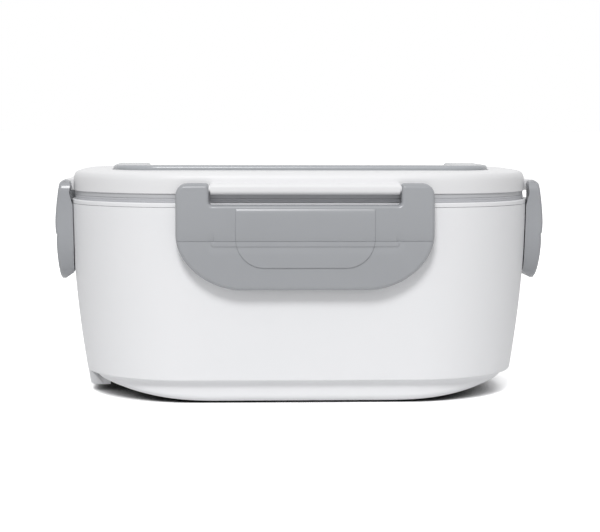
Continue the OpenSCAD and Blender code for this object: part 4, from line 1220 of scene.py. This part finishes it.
# Painted contact shadow: an occlusion term darkens the white only close under the object
contact_occlusion = add(floor_white, "ShaderNodeAmbientOcclusion", {"Distance": 0.018}, samples=16)
painted_contact_shadow = between(floor_white, contact_occlusion.outputs["AO"], 0.0, 2.6, 0.05, 0.5)
# The light that the floor throws back fades with the distance from the object
far = add(floor_white, "ShaderNodeVectorMath", {"Vector": floor_place}, operation="LENGTH")
fade = between(floor_white, far.outputs["Value"], 1.0, 0.5, 0.16, 0.40)
lift = add(floor_white, "ShaderNodeMix", {"Factor": viewed, "A": fade, "B": painted_contact_shadow},
           data_type="FLOAT")
paper = between(floor_white, noise(floor_white, floor_place, 3.0), 0.80, 0.82)
feed(floor_shader, {"Base Color": maths(floor_white, "MULTIPLY", lift.outputs["Result"], paper),
                    "Roughness": 0.9, "Specular IOR Level": 0.1})
floor_half = 30.0
floor_bm = bmesh.new()
bmesh.ops.create_grid(floor_bm, x_segments=8, y_segments=8, size=floor_half)
as_object("studio_floor", floor_bm, floor_white)

world = bpy.data.worlds.new("studio_surround")
bpy.context.scene.world = world
world.use_nodes = True
ray = add(world, "ShaderNodeLightPath").outputs
direct = maths(world, "MAXIMUM", ray["Is Camera Ray"], ray["Is Glossy Ray"])
viewed = maths(world, "MAXIMUM", direct, ray["Is Transmission Ray"])
bearing = add(world, "ShaderNodeSeparateXYZ", {
    "Vector": add(world, "ShaderNodeTexCoord").outputs["Generated"]}).outputs
sides = between(world, maths(world, "ABSOLUTE", bearing["X"]), 0.78, 0.25)
fill = maths(world, "MULTIPLY", sides, between(world, bearing["Y"], 1.0, 1.4))
feed(world.node_tree.nodes["Background"], {"Color": (1.0, 1.0, 1.0, 1.0),
                                           "Strength": between(world, viewed, fill, 1.0)})

key_turn, key_rise, key_far = math.radians(8), math.radians(42), 2.0
key_wide, key_watts = 0.55, 19.5
key_target = Vector((0, 0, 0.06))
key_light = bpy.data.lights.new("key_softbox", "AREA")
key_light.shape, key_light.size, key_light.energy = "DISK", key_wide, key_watts
key = bpy.data.objects.new("key_softbox", key_light)
bpy.context.scene.collection.objects.link(key)
key.location = key_target + key_far * Vector((-math.cos(key_rise) * math.sin(key_turn),
                                              -math.cos(key_rise) * math.cos(key_turn),
                                              math.sin(key_rise)))
key.rotation_euler = (key_target - key.location).to_track_quat("-Z", "Y").to_euler()

# A long lens from the front, a little above the lid and a little to the left
focal_share = 1724.8 / 600  # the focal length over the frame's width
lens = bpy.data.cameras.new("camera")
lens.sensor_width = 36.0
lens.lens = lens.sensor_width * focal_share
lens.clip_start = 0.05
camera = bpy.data.objects.new("camera", lens)
bpy.context.scene.collection.objects.link(camera)
camera.location = (-0.035978, -0.856819, 0.128491)
camera.rotation_euler = (1.4894, -0.0019, -0.0431)
bpy.context.scene.camera = camera
bpy.context.scene.view_settings.view_transform = "Standard"
